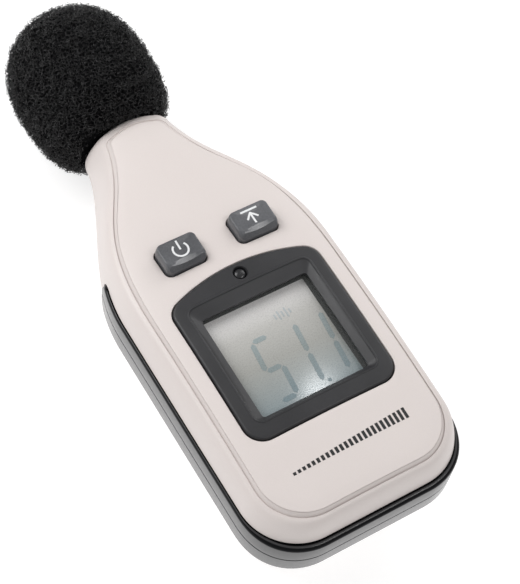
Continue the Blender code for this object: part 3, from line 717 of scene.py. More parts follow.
def wrap_finish():
    """Printed sleeve of a dry cell: dark body, copper band at the positive end, fine scuffs."""
    finish = Finish("cell_wrap", 0.28, coat_weight=0.5, coat_roughness=0.12)
    tone = finish.shades(finish.clouds(4), (0.018, 0.022, 0.05), (0.028, 0.034, 0.075))
    band = finish.ramp(finish.remap(finish.along("Z"), 0, 0.0445, 0, 1), (0, (0, 0, 0)),
                       (0.7, (0, 0, 0)), (0.705, (1, 1, 1)), (1, (1, 1, 1)))
    copper = finish.shades(finish.clouds(0.6, scale=(1, 1, 8)), (0.5, 0.24, 0.1), (0.66, 0.35, 0.17))
    finish.colour(finish.blend(tone, copper, band))
    finish.gloss(finish.clouds(0.9), 0.22, 0.36)
    finish.relief((finish.clouds(0.5, 2), 0.008, 0.3))
    return finish.material


INK = (0.012, 0.012, 0.013)
SOOT = (0.022, 0.022, 0.024)
FINISHES = {
    "shell": shell_finish(),
    "dark_grip": grip_finish(),
    "bezel": moulded("bezel_plastic", (0.012, 0.012, 0.014), (0.027, 0.027, 0.03), 0.44, 0.3, 0.01),
    "clear": window_finish(),
    "lens": moulded("sensor_lens", (0.01, 0.01, 0.012), (0.018, 0.018, 0.02), 0.26, 0.8, 0.002, 0.03),
    "lcd": display_finish("lcd_glass", (1, 1, 1), 0.25),
    "white_plastic": moulded("white_nylon", (0.62, 0.62, 0.6), (0.7, 0.7, 0.68), 0.5, 0.5, 0.015),
    "button": moulded("key_plastic", (0.06, 0.062, 0.068), (0.135, 0.138, 0.148), 0.22, 0.42, 0.004, 0.03),
    "black_plastic": moulded("black_nylon", INK, SOOT, 0.45),
    "board": board_finish(),
    "steel": machined("nickel_steel", (0.5, 0.49, 0.47), (0.68, 0.67, 0.65), 0.28),
    "brass": machined("brass", (0.55, 0.4, 0.18), (0.75, 0.57, 0.3), 0.32),
    "rubber": moulded("rubber", (0.018, 0.018, 0.019), (0.03, 0.03, 0.032), 0.7, 0.4, 0.02),
    "foam": foam_finish("foam_strands", (0.002, 0.002, 0.002), (0.02, 0.02, 0.021), 0.3, 0.62, 0.5),
    # The core is black like the foam, and its darker tone with no reflection is painted shade for the foam's
    # depths
    "foam_core_painted_shade": foam_finish("foam_core_painted_shade", (0.001, 0.001, 0.001), (0.012, 0.012, 0.013), 0.9, 0, 0.38),
    "cell": wrap_finish(),
    "red_wire": moulded("red_pvc", (0.38, 0.012, 0.012), (0.5, 0.025, 0.02), 0.4, 0.5, 0.01),
    "black_wire": moulded("black_pvc", INK, SOOT, 0.4, 0.5, 0.01),
    "blue_part": moulded("blue_sleeve", (0.03, 0.08, 0.32), (0.05, 0.12, 0.42), 0.35, 0.5, 0.01),
    "legend": moulded("legend_ink", (0.7, 0.71, 0.72), (0.8, 0.81, 0.82), 0.5, 0.3, 0.006),
    "print": moulded("black_ink", (0.008, 0.008, 0.009), (0.016, 0.016, 0.017), 0.5, 0.3, 0.006),
    "segment": display_finish("lcd_segment", (0.61, 0.74, 0.8), 0),
    "faint_segment": display_finish("lcd_faint_mark", (0.73, 0.82, 0.88), 0),
}


# Pieces


def screw_places():
    """Where the four case screws stand, left side first and on each side the lower one first."""
    return [(side * x, y) for side in (-1, 1) for x, y in (FOOT_SCREW, SHOULDER_SCREW)]


def shell_openings():
    """Cutters for the bumper's channel and for the microphone tube."""
    channel = bumper_band("channel", clearance=GAP, outwards=4)
    radius = MIC_RADIUS + GAP
    bore = turned("bore", [(radius, -7), (radius, 6)], (0, CASE["top"], PARTING_Z), "y")
    return [("-", channel), ("-", bore)]


def post(radius, low, high, x, y, base=0, sides=32):
    """An upright cylinder between two heights over base."""
    return turned("post", [(radius, low), (radius, high)], (x, y, base), "z", sides=sides)


def make_front_shell():
    shell = loft("front_shell_fine", front_rings(), caps=False)
    steps = shell_openings()
    steps.append(("-", eased_hole("bezel_hole", lambda out: plate_outline(**BEZEL, inset=-GAP - out))))
    for side in (-1, 1):
        centre = (side * middle(limits("max_button")[0]), BUTTON_Y)
        steps.append(("-", eased_hole("button_hole", lambda out: rounded_rect(
            centre, BUTTON_HOLE[0] + out, BUTTON_HOLE[1] + out, 1.7 + out))))
    for x, y in screw_places():
        steps.append(("+", post(BOSS_RADIUS, 0, 12.4, x, y, PARTING_Z + GAP / 2)))
        steps.append(("-", post(SHAFT_RADIUS, -1, 7.5, x, y, PARTING_Z, 24)))
    carve(shell, steps)
    dress(shell, "shell", "front_shell")


def make_rear_shell():
    shell = loft("rear_shell_fine", rear_rings(), caps=False)
    steps = shell_openings()
    steps.append(("-", door_zone("door_space", GAP / 2)))
    steps.append(("+", block("tray", (-22.6, 22.6), (11, 69), TRAY_Z)))
    outer_x = BAY_HALF + BAY_WALL
    bay = block("bay", (-outer_x, outer_x), (BAY_Y[0] - BAY_WALL, BAY_Y[1] + BAY_WALL),
                (BAY_RIM_Z, TRAY_Z[0] + 0.5))
    carve(bay, [("-", block("bay_space", (-BAY_HALF, BAY_HALF), BAY_Y, (0, TRAY_Z[0])))])
    steps.append(("+", bay))
    recess = [(2.9, -0.6), (2.3, 0.25), (2.3, SCREW_HEAD_Z + GAP)]
    for x, y in screw_places():
        foot = DOOR_Z + 0.6 if y < DOOR_Y else 1
        steps.append(("+", post(BOSS_RADIUS, 0, PARTING_Z - GAP / 2 - foot, x, y, foot)))
        steps.append(("-", post(SHAFT_RADIUS, 5, 27, x, y, sides=24)))
        steps.append(("-", turned("recess", recess, (x, y, 0), "z", sides=32)))
    carve(shell, steps)
    dress(shell, "shell", "rear_shell")


def make_battery_door():
    door = loft("battery_door_fine", rear_rings(), "battery_cover", caps=False)
    steps = [("&", door_zone("door_limit", -GAP / 2))]
    for side in (-1, 1):
        across = (side * CELL_GAP_X - TONGUE_HALF, side * CELL_GAP_X + TONGUE_HALF)
        steps.append(("+", block("tongue_foot", across, (62, 66.4), (1, 3))))
        steps.append(("+", block("tongue", across, (62, 71.5), (WALL + GAP, 3.7))))
    for i in range(5):
        y = 54 + 2 * i
        width = 7 - 0.8 * i
        rings = [[(x, y + along, z) for along, z in GRIP_GROOVE] for x in (-width, width)]
        steps.append(("-", loft("grip_groove", rings, None)))
    carve(door, steps)
    dress(door, "shell", "battery_door")


def make_bezel():
    """The display's frame: rounded outer edge, flat top with a fine ridge, and the slope to the opening."""
    def proud(amount):
        return lambda x, y: panel_z(x, y) + amount

    rings = [at_height(plate_outline(**BEZEL), BEZEL_FOOT_Z), at_height(plate_outline(**BEZEL), proud(-0.05))]
    edge = [(0.5 * (1 - cos(radians(a))), BEZEL_PROUD - 0.5 + 0.5 * sin(radians(a)))
            for a in (20, 40, 60, 75, 90)]
    for inset, rise in edge + [(1.2, BEZEL_PROUD)]:
        rings.append(at_height(plate_outline(**BEZEL, inset=inset), proud(rise)))
    for inset, rise in ((-0.9, 0), (-0.62, 0), (-0.5, 0.1), (-0.34, 0.12), (-0.2, 0.06), (0, -0.18)):
        rings.append(at_height(plate_outline(**BEZEL_RIM, inset=inset), proud(BEZEL_PROUD + rise)))
    slope = list(zip(rings[-1], at_height(plate_outline(**DISPLAY_OPENING), OPENING_Z)))
    for t in (0.33, 0.66):
        rings.append([tuple(mix(a, b, t) for a, b in zip(*pair)) for pair in slope])
    for inset, rise in ((-0.18, 0.1), (-0.05, 0.05), (0, -0.08), (0, -0.4)):
        rings.append(at_height(plate_outline(**DISPLAY_OPENING, inset=inset), OPENING_Z + rise))
    rings += [at_height(plate_outline(**WINDOW_SEAT), z) for z in (OPENING_Z - 0.4, BEZEL_FOOT_Z)]
    bezel = loft("display_bezel_fine", rings, closed=True, angle=24)
    top = panel_z(0, SENSOR_Y) + BEZEL_PROUD
    hole = turned("sensor_hole", [(SENSOR_RADIUS + 0.15, 20), (SENSOR_RADIUS + 0.15, top - 0.35),
                                  (SENSOR_RADIUS + 0.4, top + 0.02), (SENSOR_RADIUS + 0.5, 40)],
                  (0, SENSOR_Y, 0), "z", sides=48)
    carve(bezel, [("-", hole)], 24)
    dress(bezel, "bezel", "display_bezel")


def make_display():
    low, high = limits("display_window")[2]
    chamfer = 0.12
    rings = [at_height(plate_outline(**WINDOW_SEAT, inset=GAP + inset), z)
             for z, inset in ((low, chamfer), (low + chamfer, 0), (high - chamfer, 0), (high, chamfer))]
    dress(loft("display_window_fine", rings), "clear", "display_window")
    across, along, (foot, top) = limits("lcd_cell")
    rings = []
    end = along[0]
    for low, z, inset in ((end, foot, chamfer), (end, foot + chamfer, 0), (end, foot + 1.28, 0),
                          (end, foot + 1.4, chamfer), (LCD_LEDGE, foot + 1.4, 0),
                          (LCD_LEDGE, top - chamfer, 0), (LCD_LEDGE, top, chamfer)):
        centre = (0, (low + along[1]) / 2)
        outline = rounded_rect(centre, across[1] - inset, (along[1] - low) / 2 - inset, 0.4, 3)
        rings.append(at_height(outline, z))
    dress(loft("lcd_cell_fine", rings), "lcd", "lcd_cell")
    outer = rounded_rect((0, 42.4), 17.2, 16.2, 0.4, 3)
    inner = rounded_rect((0, 41.7), 13.2, 13.7, 0.3, 3)
    band = ((outer, 0.02), (outer, 0.07), (inner, 0.07), (inner, 0.02))
    rings = [at_height(outline, top + lift) for outline, lift in band]
    dress(loft("lcd_border", rings, closed=True), "print")
    make_reading()
    base = limits("light_sensor")[2][0]
    tall = 8.3
    dome = 0.6
    profile = [(SENSOR_RADIUS, 0), (SENSOR_RADIUS, tall - dome)]
    profile += [(SENSOR_RADIUS * cos(a), tall - dome + dome * sin(a))
                for a in (radians(10 * i) for i in range(1, 9))]
    lens = turned("light_sensor_fine", profile + [(0.02, tall)], (0, SENSOR_Y, base), "z", "case", sides=48)
    dress(lens, "lens", "light_sensor")


SEGMENTS = {  # from one corner of a digit to another, as (across, up) from 0 to 1
    "top": ((0, 1), (1, 1)), "middle": ((0, 0.5), (1, 0.5)), "bottom": ((0, 0), (1, 0)),
    "upper_left": ((0, 0.5), (0, 1)), "upper_right": ((1, 0.5), (1, 1)), "lower_right": ((1, 0), (1, 0.5)),
}
FIVE = ("top", "upper_left", "middle", "lower_right", "bottom")
ONE = ("upper_right", "lower_right")
READING = (FIVE, ONE, ONE)
DIGIT_SIZE = (4.1, 15.3)
DIGIT_PITCH = 6.75
DIGIT_LOW = (-6.95, 31.15)
DIGIT_LEAN = 0.095
SEGMENT_WIDTH = 1.25
SEGMENT_GAP = 0.22
SEGMENT_TAPER = 0.62


def make_reading():
    """The number on the display, its decimal point and a small mark above, as raised film."""
    film = (LCD_TOP + 0.01, LCD_TOP + 0.04)
    wide, tall = DIGIT_SIZE
    number = 0
    for place, digit in enumerate(READING):
        left = DIGIT_LOW[0] + place * DIGIT_PITCH
        for segment in digit:
            start, stop = (Vector((left + across * wide + up * tall * DIGIT_LEAN, DIGIT_LOW[1] + up * tall))
                           for across, up in SEGMENTS[segment])
            along = (stop - start).normalized()
            beside = Vector((-along.y, along.x)) * SEGMENT_WIDTH / 2
            start += along * SEGMENT_GAP
            stop -= along * SEGMENT_GAP
            taper = along * SEGMENT_TAPER
            outline = [start, start + taper - beside, stop - taper - beside, stop,
                       stop - taper + beside, start + taper + beside]
            number += 1
            dress(prism(f"lcd_segment_{number}", outline, *film, "case"), "segment")
    point = rounded_rect((DIGIT_LOW[0] + DIGIT_PITCH + wide + 1.3, DIGIT_LOW[1] - 0.4), 0.42, 0.42, 0.2, 4)
    dress(prism("lcd_point", point, *film, "case"), "segment")
    for i, half in enumerate((0.7, 1.2, 0.8, 1.3, 0.6)):
        mark = rounded_rect((2.6 + 0.95 * i, 49.7), 0.2, half, 0.15, 3)
        dress(prism(f"lcd_mark_{i + 1}", mark, *film, "case"), "faint_segment")


def key_top_z(word, x, y):
    """Height of a key's flat and slightly hollow upper surface."""
    x -= middle(limits(f"{word}_button")[0])
    y -= BUTTON_Y + 0.75
    inside = 1 - max(abs(x) / 4.55, abs(y) / 2.55)
    return limits(f"{word}_button")[2][1] - KEY_HOLLOW * smooth(0, 0.8, inside)


def make_button(word):
    """A key: straight skirt, rounded edge, hollow top and a crescent facet at the near side."""
    x = middle(limits(f"{word}_button")[0])
    foot, top = limits(f"{word}_button")[2]
    rings = []
    for inset, z in ((0, foot), (0, foot + 0.8), (0.8, foot + 0.8), (0.8, 34.2)):
        rings.append(at_height(rounded_rect((x, BUTTON_Y), 5.9 - inset, 4.4 - inset, 1.4), z))
    for a in (radians(7.5 * i) for i in range(1, 13)):
        draw = 1 - cos(a)
        outline = rounded_rect((x, BUTTON_Y + 0.75 * draw), 5.1 - 0.55 * draw, 3.6 - 1.05 * draw,
                               1.4 - 0.35 * draw)
        rings.append(at_height(outline, mix(35.1, top, sin(a))))
    for share in (0.96, 0.88, 0.8, 0.7, 0.55, 0.4, 0.2):
        outline = rounded_rect((x, BUTTON_Y + 0.75), 4.55 * share, 2.55 * share, 1.05 * share)
        rings.append(at_height(outline, lambda px, py: key_top_z(word, px, py)))
    button = loft(f"{word}_button_fine", rings, f"{word}_key", angle=40)
    cuts = []
    for start, drop, slope, bow in KEY_CUTS:
        line = [(5.6 * i / 16, slope * (-start + bow * (i / 16) ** 2) - drop) for i in range(-16, 17)]
        rings = [[(x + across, BUTTON_Y + y, top + up + slope * y) for across, up in line]
                 + [(x + side, BUTTON_Y + y, top + 9) for side in (5.6, -5.6)] for y in (-6, 3)]
        cuts.append(("-", loft("key_cut", rings, None)))
    carve(button, cuts, 22)
    dress(button, "button", f"{word}_button")


def stroke(name, route, width, height, body):
    """A thin stroke with square ends along a route of (x, y) points, laid on a surface of given height."""
    rings = []
    for i, point in enumerate(route):
        along = (Vector(route[min(i + 1, len(route) - 1)]) - Vector(route[max(i - 1, 0)])).normalized()
        beside = Vector((-along.y, along.x)) * width / 2
        left = Vector(point) + beside
        right = Vector(point) - beside
        corners = ((left, -0.1), (right, -0.1), (right, 0.02), (left, 0.02))
        rings.append([(x, y, height(x, y) + lift) for (x, y), lift in corners])
    return loft(name, rings, body)


def make_legends():
    """White marks on the keys: the standby sign, and an arrow up to a bar for the peak hold."""
    centre_y = BUTTON_Y + 0.35
    ring = [(1.78 * cos(radians(a)), 1.78 * sin(radians(a))) for a in range(130, 406, 6)]
    marks = {
        "power": {"power_sign_ring": ring, "power_sign_bar": [(0, 0), (0, 1.2), (0, 2.4)]},
        "max": {
            "peak_sign_stem": [(0, -1.7), (0, -0.8), (0, 0.3), (0, 1.3)],
            "peak_sign_left": [(-1.4, -0.3), (-0.7, 0.5), (0.1, 1.3)],
            "peak_sign_right": [(1.4, -0.3), (0.7, 0.5), (-0.1, 1.3)],
            "peak_sign_bar": [(-2.1, 2), (-1, 2), (1, 2), (2.1, 2)],
        },
    }
    for word, signs in marks.items():
        centre_x = middle(limits(f"{word}_button")[0])
        for name, route in signs.items():
            route = [(centre_x + x, centre_y + y) for x, y in route]
            mark = stroke(name, route, LEGEND_WIDTH, lambda x, y: key_top_z(word, x, y), f"{word}_key")
            dress(mark, "legend")


def make_printing():
    """A row of rising level bars printed under the display."""
    for i in range(LEVEL_BARS):
        x = mix(-14.3, 14.3, i / (LEVEL_BARS - 1))
        low = 14
        high = low + mix(0.7, 2.6, i / (LEVEL_BARS - 1))
        half = 0.36
        corners = [(x - half, low), (x + half, low), (x + half, high), (x - half, high)]
        rings = [at_height(corners, lambda px, py: panel_z(px, py) + lift) for lift in (-0.05, 0.03)]
        dress(loft(f"level_bar_{i + 1}", rings), "print")


def make_screws():
    """Pan-head screws with a cross recess, washer face and thread."""
    number = 0
    for side in (-1, 1):
        for x, y in (SHOULDER_SCREW, FOOT_SCREW):
            number += 1
            x *= side
            length = limits(f"case_screw_{number}")[2][1] - SCREW_HEAD_Z
            profile = [(0.05, -1.4), (0.9, -1.38), (1.45, -1.2), (1.85, -0.8)]
            profile += [(2, -0.4), (2, 0), (1, 0)]
            profile += [(1.1 if i % 2 else 0.78, 0.6 + (length - 2) * i / 22) for i in range(22)]
            profile += [(0.7, length - 1), (0.05, length)]
            screw = turned(f"case_screw_fine_{number}", profile, (x, y, SCREW_HEAD_Z), "z", "case", 32)
            cuts = []
            for wide, tall in ((0.3, 1.15), (1.15, 0.3)):
                cuts.append(("-", block("slot", (x - wide, x + wide), (y - tall, y + tall),
                                        (SCREW_HEAD_Z - 2, SCREW_HEAD_Z - 0.7))))
            carve(screw, cuts)
            dress(screw, "steel", f"case_screw_{number}")


def make_cells():
    """Dry cells: sleeve, crimped ends and positive cap. A cell's own Z runs to its positive end."""
    for number in (1, 2, 3):
        (x0, x1), (y0, y1), (z0, z1) = limits(f"battery_cell_{number}")
        forward = number != 2
        radius = (x1 - x0) / 2
        length = y1 - y0
        profile = [(0.05, 0.35), (3.2, 0.35), (3.5, 0), (4.6, 0), (radius - 0.25, 0.12), (radius, 0.5)]
        profile += [(radius, 12), (radius, 24), (radius, 36), (radius, length - 2.1)]
        profile += [(radius - 0.1, length - 1.75), (radius - 0.45, length - 1.5), (3.4, length - 1.45)]
        profile += [(2, length - 1.3), (1.9, length - 0.25), (1.6, length), (0.05, length)]
        cell = turned(f"battery_cell_fine_{number}", profile, (0, LENGTH / 2, 0), "z")
        cell.location = on_frame((middle((x0, x1)), y0 if forward else y1, middle((z0, z1))))
        cell.rotation_euler.x = radians(-90 if forward else 90)
        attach(cell, "case")
        dress(cell, "cell", f"battery_cell_{number}")
        cell.data.materials.append(FINISHES["steel"])
        for face in cell.data.polygons:
            bare = hypot(face.center.x, face.center.y) < (radius - 0.3) * MM
            face.material_index = int(bare)


def make_springs():
    for number in (1, 2, 3):
        across, (y0, y1) = limits(f"contact_spring_{number}")[:2]
        ends = (y0 + SPRING_WIRE, y1 - SPRING_WIRE)
        first, last = ends if number != 2 else ends[::-1]
        route = []
        steps = 150
        for i in range(steps + 1):
            t = i / steps
            a = 2 * pi * 3 * t
            radius = mix(3.6, 1.9, t)
            route.append(Vector((middle(across) + radius * cos(a), mix(first, last, t),
                                 8.5 + radius * sin(a))))
        rings = []
        for i, point in enumerate(route):
            along = (route[min(i + 1, steps)] - route[max(i - 1, 0)]).normalized()
            side = along.cross(Vector((0, 1, 0))).normalized()
            other = along.cross(side)
            rings.append([tuple(point + (side * cos(b) + other * sin(b)) * SPRING_WIRE)
                          for b in (2 * pi * k / 10 for k in range(10))])
        spring = loft(f"contact_spring_fine_{number}", rings, angle=60)
        dress(spring, "steel", f"contact_spring_{number}")


def make_microphone():
    centre = (0, 0, PARTING_Z)
    low, high = MIC_Y
    wall = [(MIC_BORE, low)]
    for inset, y in ((0, low), (0, 102.6), (-0.75, 102.6), (-0.75, 104.2), (0, 104.2), (0, 112.6),
                     (0.25, 112.8), (0.25, 113.2), (0, 113.4), (0, 126.5), (0.2, 126.7), (0.2, 127.3),
                     (0, 127.5), (0, high - 0.5), (0.15, high - 0.15), (0.5, high)):
        wall.append((MIC_RADIUS - inset, y))
    tube = turned("microphone_tube_fine", wall + [(MIC_BORE, high)], centre, "y", "case", 96, hollow=True)
    dress(tube, "black_plastic", "microphone_tube")
    rim = MIC_BORE - GAP
    profile = [(rim, 128.9), (rim, 130), (rim - 0.12, 130.25), (4.7, 130.6), (4.3, 130.7), (0.05, 130.7)]
    grille = turned("microphone_cap_fine", profile, centre, "y", "case", sides=96)
    holes = []
    for row, count in ((0, 1), (1.35, 6), (2.7, 12), (3.9, 18)):
        for x, y, z in circle(centre, row, "y", count):
            holes.append(("-", turned("hole", [(0.38, 127), (0.38, 133)], (x, 0, z), "y", sides=12)))
    carve(grille, holes)
    dress(grille, "brass", "microphone_cap")


# Windscreen


def foam_radius(y):
    """Radius of the foam ball across its own axis at y."""
    if y < FOAM_WIDEST_Y:
        t = (FOAM_WIDEST_Y - y) / (FOAM_WIDEST_Y - FOAM_Y[0])
        return FOAM_RADIUS * (1 - (0.97 * t) ** 3.6) ** (1 / 3.6) * (1 - 0.03 * t)
    t = min((y - FOAM_WIDEST_Y) / (FOAM_Y[1] - FOAM_WIDEST_Y), 1)
    return FOAM_RADIUS * (1 - t**2.35) ** (1 / 2.35)


def foam_axis(y):
    return (FOAM_SHIFT[0] + FOAM_LEAN[0] * (y - FOAM_Y[0]),
            PARTING_Z + FOAM_SHIFT[1] + FOAM_LEAN[1] * (y - FOAM_Y[0]))


def foam_depth(points):
    """How deep each bench point lies in the foam ball, in millimetres, roughly. Outside is negative."""
    ys = np.linspace(*FOAM_Y, 400)
    radii = np.array([foam_radius(y) for y in ys])
    y = np.clip(points[:, 1], *FOAM_Y)
    axis_x, axis_z = foam_axis(y)
    far = np.hypot(points[:, 0] - axis_x, points[:, 2] - axis_z)
    lean = np.clip(np.interp(y, ys, np.gradient(radii, ys)), -8, 8)
    sideways = (np.interp(y, ys, radii) - far) / np.sqrt(1 + lean**2)
    ends = np.minimum(points[:, 1] - FOAM_Y[0], FOAM_Y[1] - points[:, 1])
    return np.minimum(sideways, ends)


def kelvin_net():
    """Vertices and edges of a Kelvin foam that fills the ball's box: what real open-cell foam is near to."""
    corners = []
    for a, b in ((1, 2), (0, 2), (0, 1)):
        for u, v in ((1, 2), (2, 1), (3, 2), (2, 3)):
            corner = [0, 0, 0]
            corner[a] = u
            corner[b] = v
            corners.append(corner)
    low = np.array([FOAM_SHIFT[0] - FOAM_RADIUS - 2.5, FOAM_Y[0] - 0.8, PARTING_Z - FOAM_RADIUS - 1])
    size = np.array([2 * FOAM_RADIUS + 5, FOAM_Y[1] - FOAM_Y[0] + 1.8, 2 * FOAM_RADIUS + 6.5])
    counts = np.ceil(size / FOAM_CELL).astype(int)
    grid = np.stack(np.meshgrid(*[np.arange(n) for n in counts], indexing="ij"), -1).reshape(-1, 3)
    whole = (grid[:, None, :] * 4 + np.array(corners)[None, :, :]).reshape(-1, 3)

    def key(spots):
        return (spots[:, 0] * 4096 + spots[:, 1]) * 4096 + spots[:, 2]

    whole = whole[np.argsort(key(whole))]
    keys = key(whole)
    edges = []
    for step in ((0, 1, 1), (0, 1, -1), (1, 0, 1), (1, 0, -1), (1, 1, 0), (1, -1, 0)):
        wanted = key(whole + np.array(step))
        found = np.clip(np.searchsorted(keys, wanted), 0, len(keys) - 1)
        match = keys[found] == wanted
        edges.append(np.stack([np.nonzero(match)[0], found[match]], 1))
    return low + whole * (FOAM_CELL / 4), np.concatenate(edges)


def wander(points, size, amount, random):
    """Smooth random shifts: a few waves of about the given size."""
    shift = np.zeros_like(points)
    for _ in range(14):
        direction = random.normal(size=3)
        direction /= np.linalg.norm(direction)
        wave = 2 * pi / (size * random.uniform(0.7, 1.6))
        push = random.normal(size=3)
        push *= amount / np.linalg.norm(push) / sqrt(7)
        shift += np.sin(points @ direction * wave + random.uniform(0, 6.28))[:, None] * push
    return points + shift


def struts(start, end, radius):
    """Three-sided struts from start to end points, as points and faces."""
    along = end - start
    length = np.linalg.norm(along, axis=1, keepdims=True)
    along = along / np.maximum(length, 1e-9)
    side = np.cross(along, np.where(np.abs(along[:, 2:3]) < 0.8, [[0, 0, 1]], [[1, 0, 0]]))
    side /= np.linalg.norm(side, axis=1, keepdims=True)
    other = np.cross(along, side)
    rings = []
    for place in (-0.04, 1.04):
        for a in (0, 2 * pi / 3, 4 * pi / 3):
            rings.append(start + along * length * place + (side * cos(a) + other * sin(a)) * radius[:, None])
    first = np.arange(len(start))[:, None] * 6
    quads = np.concatenate([first + np.array([[k, (k + 1) % 3, 3 + (k + 1) % 3, 3 + k]]) for k in range(3)])
    return np.stack(rings, 1).reshape(-1, 3), quads


def mesh_from_arrays(name, verts, quads):
    mesh = bpy.data.meshes.new(name)
    mesh.vertices.add(len(verts))
    mesh.vertices.foreach_set("co", verts.astype(np.float32).ravel())
    mesh.loops.add(quads.size)
    mesh.loops.foreach_set("vertex_index", quads.astype(np.int32).ravel())
    mesh.polygons.add(len(quads))
    mesh.polygons.foreach_set("loop_start", np.arange(0, quads.size, 4, dtype=np.int32))
    mesh.update(calc_edges=True)
    mesh.validate()
    return link(name, mesh)


def make_windscreen():
    """Open-cell foam: a net of fine struts over a core that is black like the foam, and darker still with no
    reflection as painted shade for the foam's depths. Loose ends stand just proud of the CAD solid.
    """
    random = np.random.default_rng(FOAM_SEED)
    points, edges = kelvin_net()
    points = wander(points, 2.6, 0.4, random)
    points += random.normal(scale=0.1, size=points.shape)
    depth = foam_depth(points) + wander(points, 1.5, FOAM_LUMPS, random)[:, 0] - points[:, 0]
    bore = MIC_RADIUS + GAP
    inside = np.hypot(points[:, 0], points[:, 2] - PARTING_Z) < bore + 0.15
    collar = (np.abs(points[:, 0]) < CASE["neck"]) & (points[:, 1] < CASE["top"] + CASE["bow"] + 0.1)
    collar &= (points[:, 2] > NECK_BACK_Z + 1) & (points[:, 2] < COLLAR_TOP_Z)
    taken = (depth > FOAM_NET_DEPTH) | (inside & (points[:, 1] < FOAM_BORE_END + 0.5)) | collar
    shallow = np.where(depth[edges[:, 0]] < depth[edges[:, 1]], edges[:, 0], edges[:, 1])
    deep = edges.sum(1) - shallow
    ragged = mix(FOAM_RAGGED[1], FOAM_RAGGED[0], random.uniform(size=len(edges)) ** 3)
    keep = ~taken[shallow] & ~taken[deep] & (depth[deep] > ragged + 0.12)
    shallow, deep, ragged = shallow[keep], deep[keep], ragged[keep]
    cut = np.clip((ragged - depth[shallow]) / (depth[deep] - depth[shallow]), 0, 1)[:, None]
    start = points[shallow] + (points[deep] - points[shallow]) * cut
    verts, quads = struts(start, points[deep], FOAM_STRUT * random.uniform(0.7, 1.3, size=len(start)))
    net = mesh_from_arrays("windscreen_net", (verts - np.array([0, LENGTH / 2, 0])) * MM, quads)
    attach(net, "wind_cover")
    dress(net, "foam", "windscreen")
    core_low = FOAM_Y[0] + 1
    core_high = FOAM_Y[1] - FOAM_NET_DEPTH
    rings = [circle((0, y, PARTING_Z), r, "y", 96)
             for r, y in ((0.05, FOAM_BORE_END), (bore, FOAM_BORE_END), (bore, core_low))]
    steps = 40
    for i in range(steps + 1):
        stretch = (sin(pi / 2 * (2 * i / steps - 1)) + 1) / 2
        y = mix(core_low, core_high, stretch)
        inward = mix(0.7, FOAM_NET_DEPTH - 0.1, smooth(FOAM_Y[0], FOAM_Y[0] + 6, y))
        radius = max(foam_radius(mix(*FOAM_Y, stretch)) - inward, 0.05) if i < steps else 0.05
        x, z = foam_axis(y)
        rings.append(circle((x, y, z), radius, "y", 96))
    # The core's finish is painted shade for the foam's depths
    core = loft("windscreen_core", rings, "wind_cover", angle=60)
    dress(core, "foam_core_painted_shade")


def finish_inner_nodes():
    """The CAD nodes that stay get their procedural finishes."""
    plan = {
        "white_plastic": "lcd_reflector lcd_holder power_switch_plunger max_switch_plunger",
        "rubber": "zebra_strip_lower zebra_strip_upper microphone_holder",
        "black_plastic": "power_switch_body max_switch_body controller_chip amplifier_chip",
        "board": "main_board",
        "steel": "crystal contact_plate_1 contact_plate_2 contact_plate_3 microphone_capsule "
                 "board_screw_1 board_screw_2 board_screw_3 board_screw_4",
        "blue_part": "supply_capacitor gain_trimmer",
        "red_wire": "battery_lead_positive microphone_lead_signal",
        "black_wire": "battery_lead_negative microphone_lead_ground",
    }
    for finish, names in plan.items():
        for name in names.split():
            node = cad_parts[name]
            dress(node, finish)


# Stage


CAMERA_TILT = -22.45
CAMERA_TURN = 21.31
CAMERA_ROLL = 33.56
CAMERA_AIM = (0, -0.0145, 0.02)
CAMERA_OFFSET = (5.292, 4.263, 415.95)
CAMERA_LENS = 112


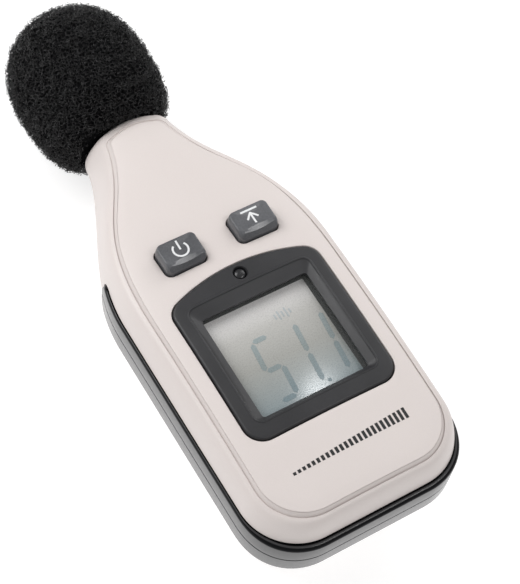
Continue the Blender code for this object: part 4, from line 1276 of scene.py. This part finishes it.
def make_camera():
    facing = Matrix.Identity(3)
    for angle, axis in ((CAMERA_ROLL, "Z"), (CAMERA_TILT, "X"), (CAMERA_TURN, "Y")):
        facing = facing @ Matrix.Rotation(radians(angle), 3, axis)
    facing.transpose()
    data = bpy.data.cameras.new("camera")
    data.sensor_width = 36
    data.lens = CAMERA_LENS
    data.clip_start = 0.01
    data.clip_end = 50
    camera = link("camera", data)
    camera.matrix_world = facing.to_4x4()
    camera.location = Vector(CAMERA_AIM) + facing @ Vector(CAMERA_OFFSET) * MM
    bpy.context.scene.camera = camera


def make_floor():
    """A wide pale floor. A little light of its own keeps the shade round the meter faint."""
    size = 3.0
    mesh = bpy.data.meshes.new("floor")
    corners = [(size * x, size * y, 0.0) for x, y in ((-1, -1), (1, -1), (1, 1), (-1, 1))]
    mesh.from_pydata(corners, [], [(0, 1, 2, 3)])
    floor = link("floor", mesh)
    floor.location.z = -0.0002
    finish = Finish("pale_paper", 0.8, emission_color=(1, 1, 1, 1), emission_strength=0.68)
    finish.colour(finish.shades(finish.clouds(40), (0.46, 0.46, 0.46), (0.49, 0.49, 0.49)))
    mesh.materials.append(finish.material)


def add_softbox(name, place, size, power, aim=(0, 0, 0.02)):
    data = bpy.data.lights.new(name, "AREA")
    data.shape = "RECTANGLE"
    data.size, data.size_y = size
    data.energy = power
    light = link(name, data)
    light.location = place
    light.rotation_euler = (Vector(aim) - Vector(place)).to_track_quat("-Z", "Y").to_euler()


def make_lights():
    world = bpy.data.worlds.new("studio")
    bpy.context.scene.world = world
    world.use_nodes = True
    background = world.node_tree.nodes["Background"]
    background.inputs["Color"].default_value = (1, 0.995, 0.99, 1)
    background.inputs["Strength"].default_value = 0.45
    add_softbox("key", (-0.26, 0.31, 0.45), (0.38, 0.38), 2.2)
    add_softbox("right", (0.9, 0.4, 0.66), (0.6, 0.6), 2.9)
    add_softbox("front", (0.3, -0.455, 0.86), (0.56, 0.12), 1.8)
    add_softbox("spark", (0.4113, 0.3415, 1.092), (0.022, 0.022), 0.16, (0, -0.044, 0.033))


make_front_shell()
make_rear_shell()
make_battery_door()
dress(bumper_band("side_bumper_fine", "case"), "dark_grip", "side_bumper")
make_bezel()
make_display()
make_button("power")
make_button("max")
make_legends()
make_printing()
make_screws()
make_cells()
make_springs()
make_microphone()
make_windscreen()
finish_inner_nodes()
make_floor()
make_lights()
make_camera()
bpy.context.scene.view_settings.view_transform = "Standard"
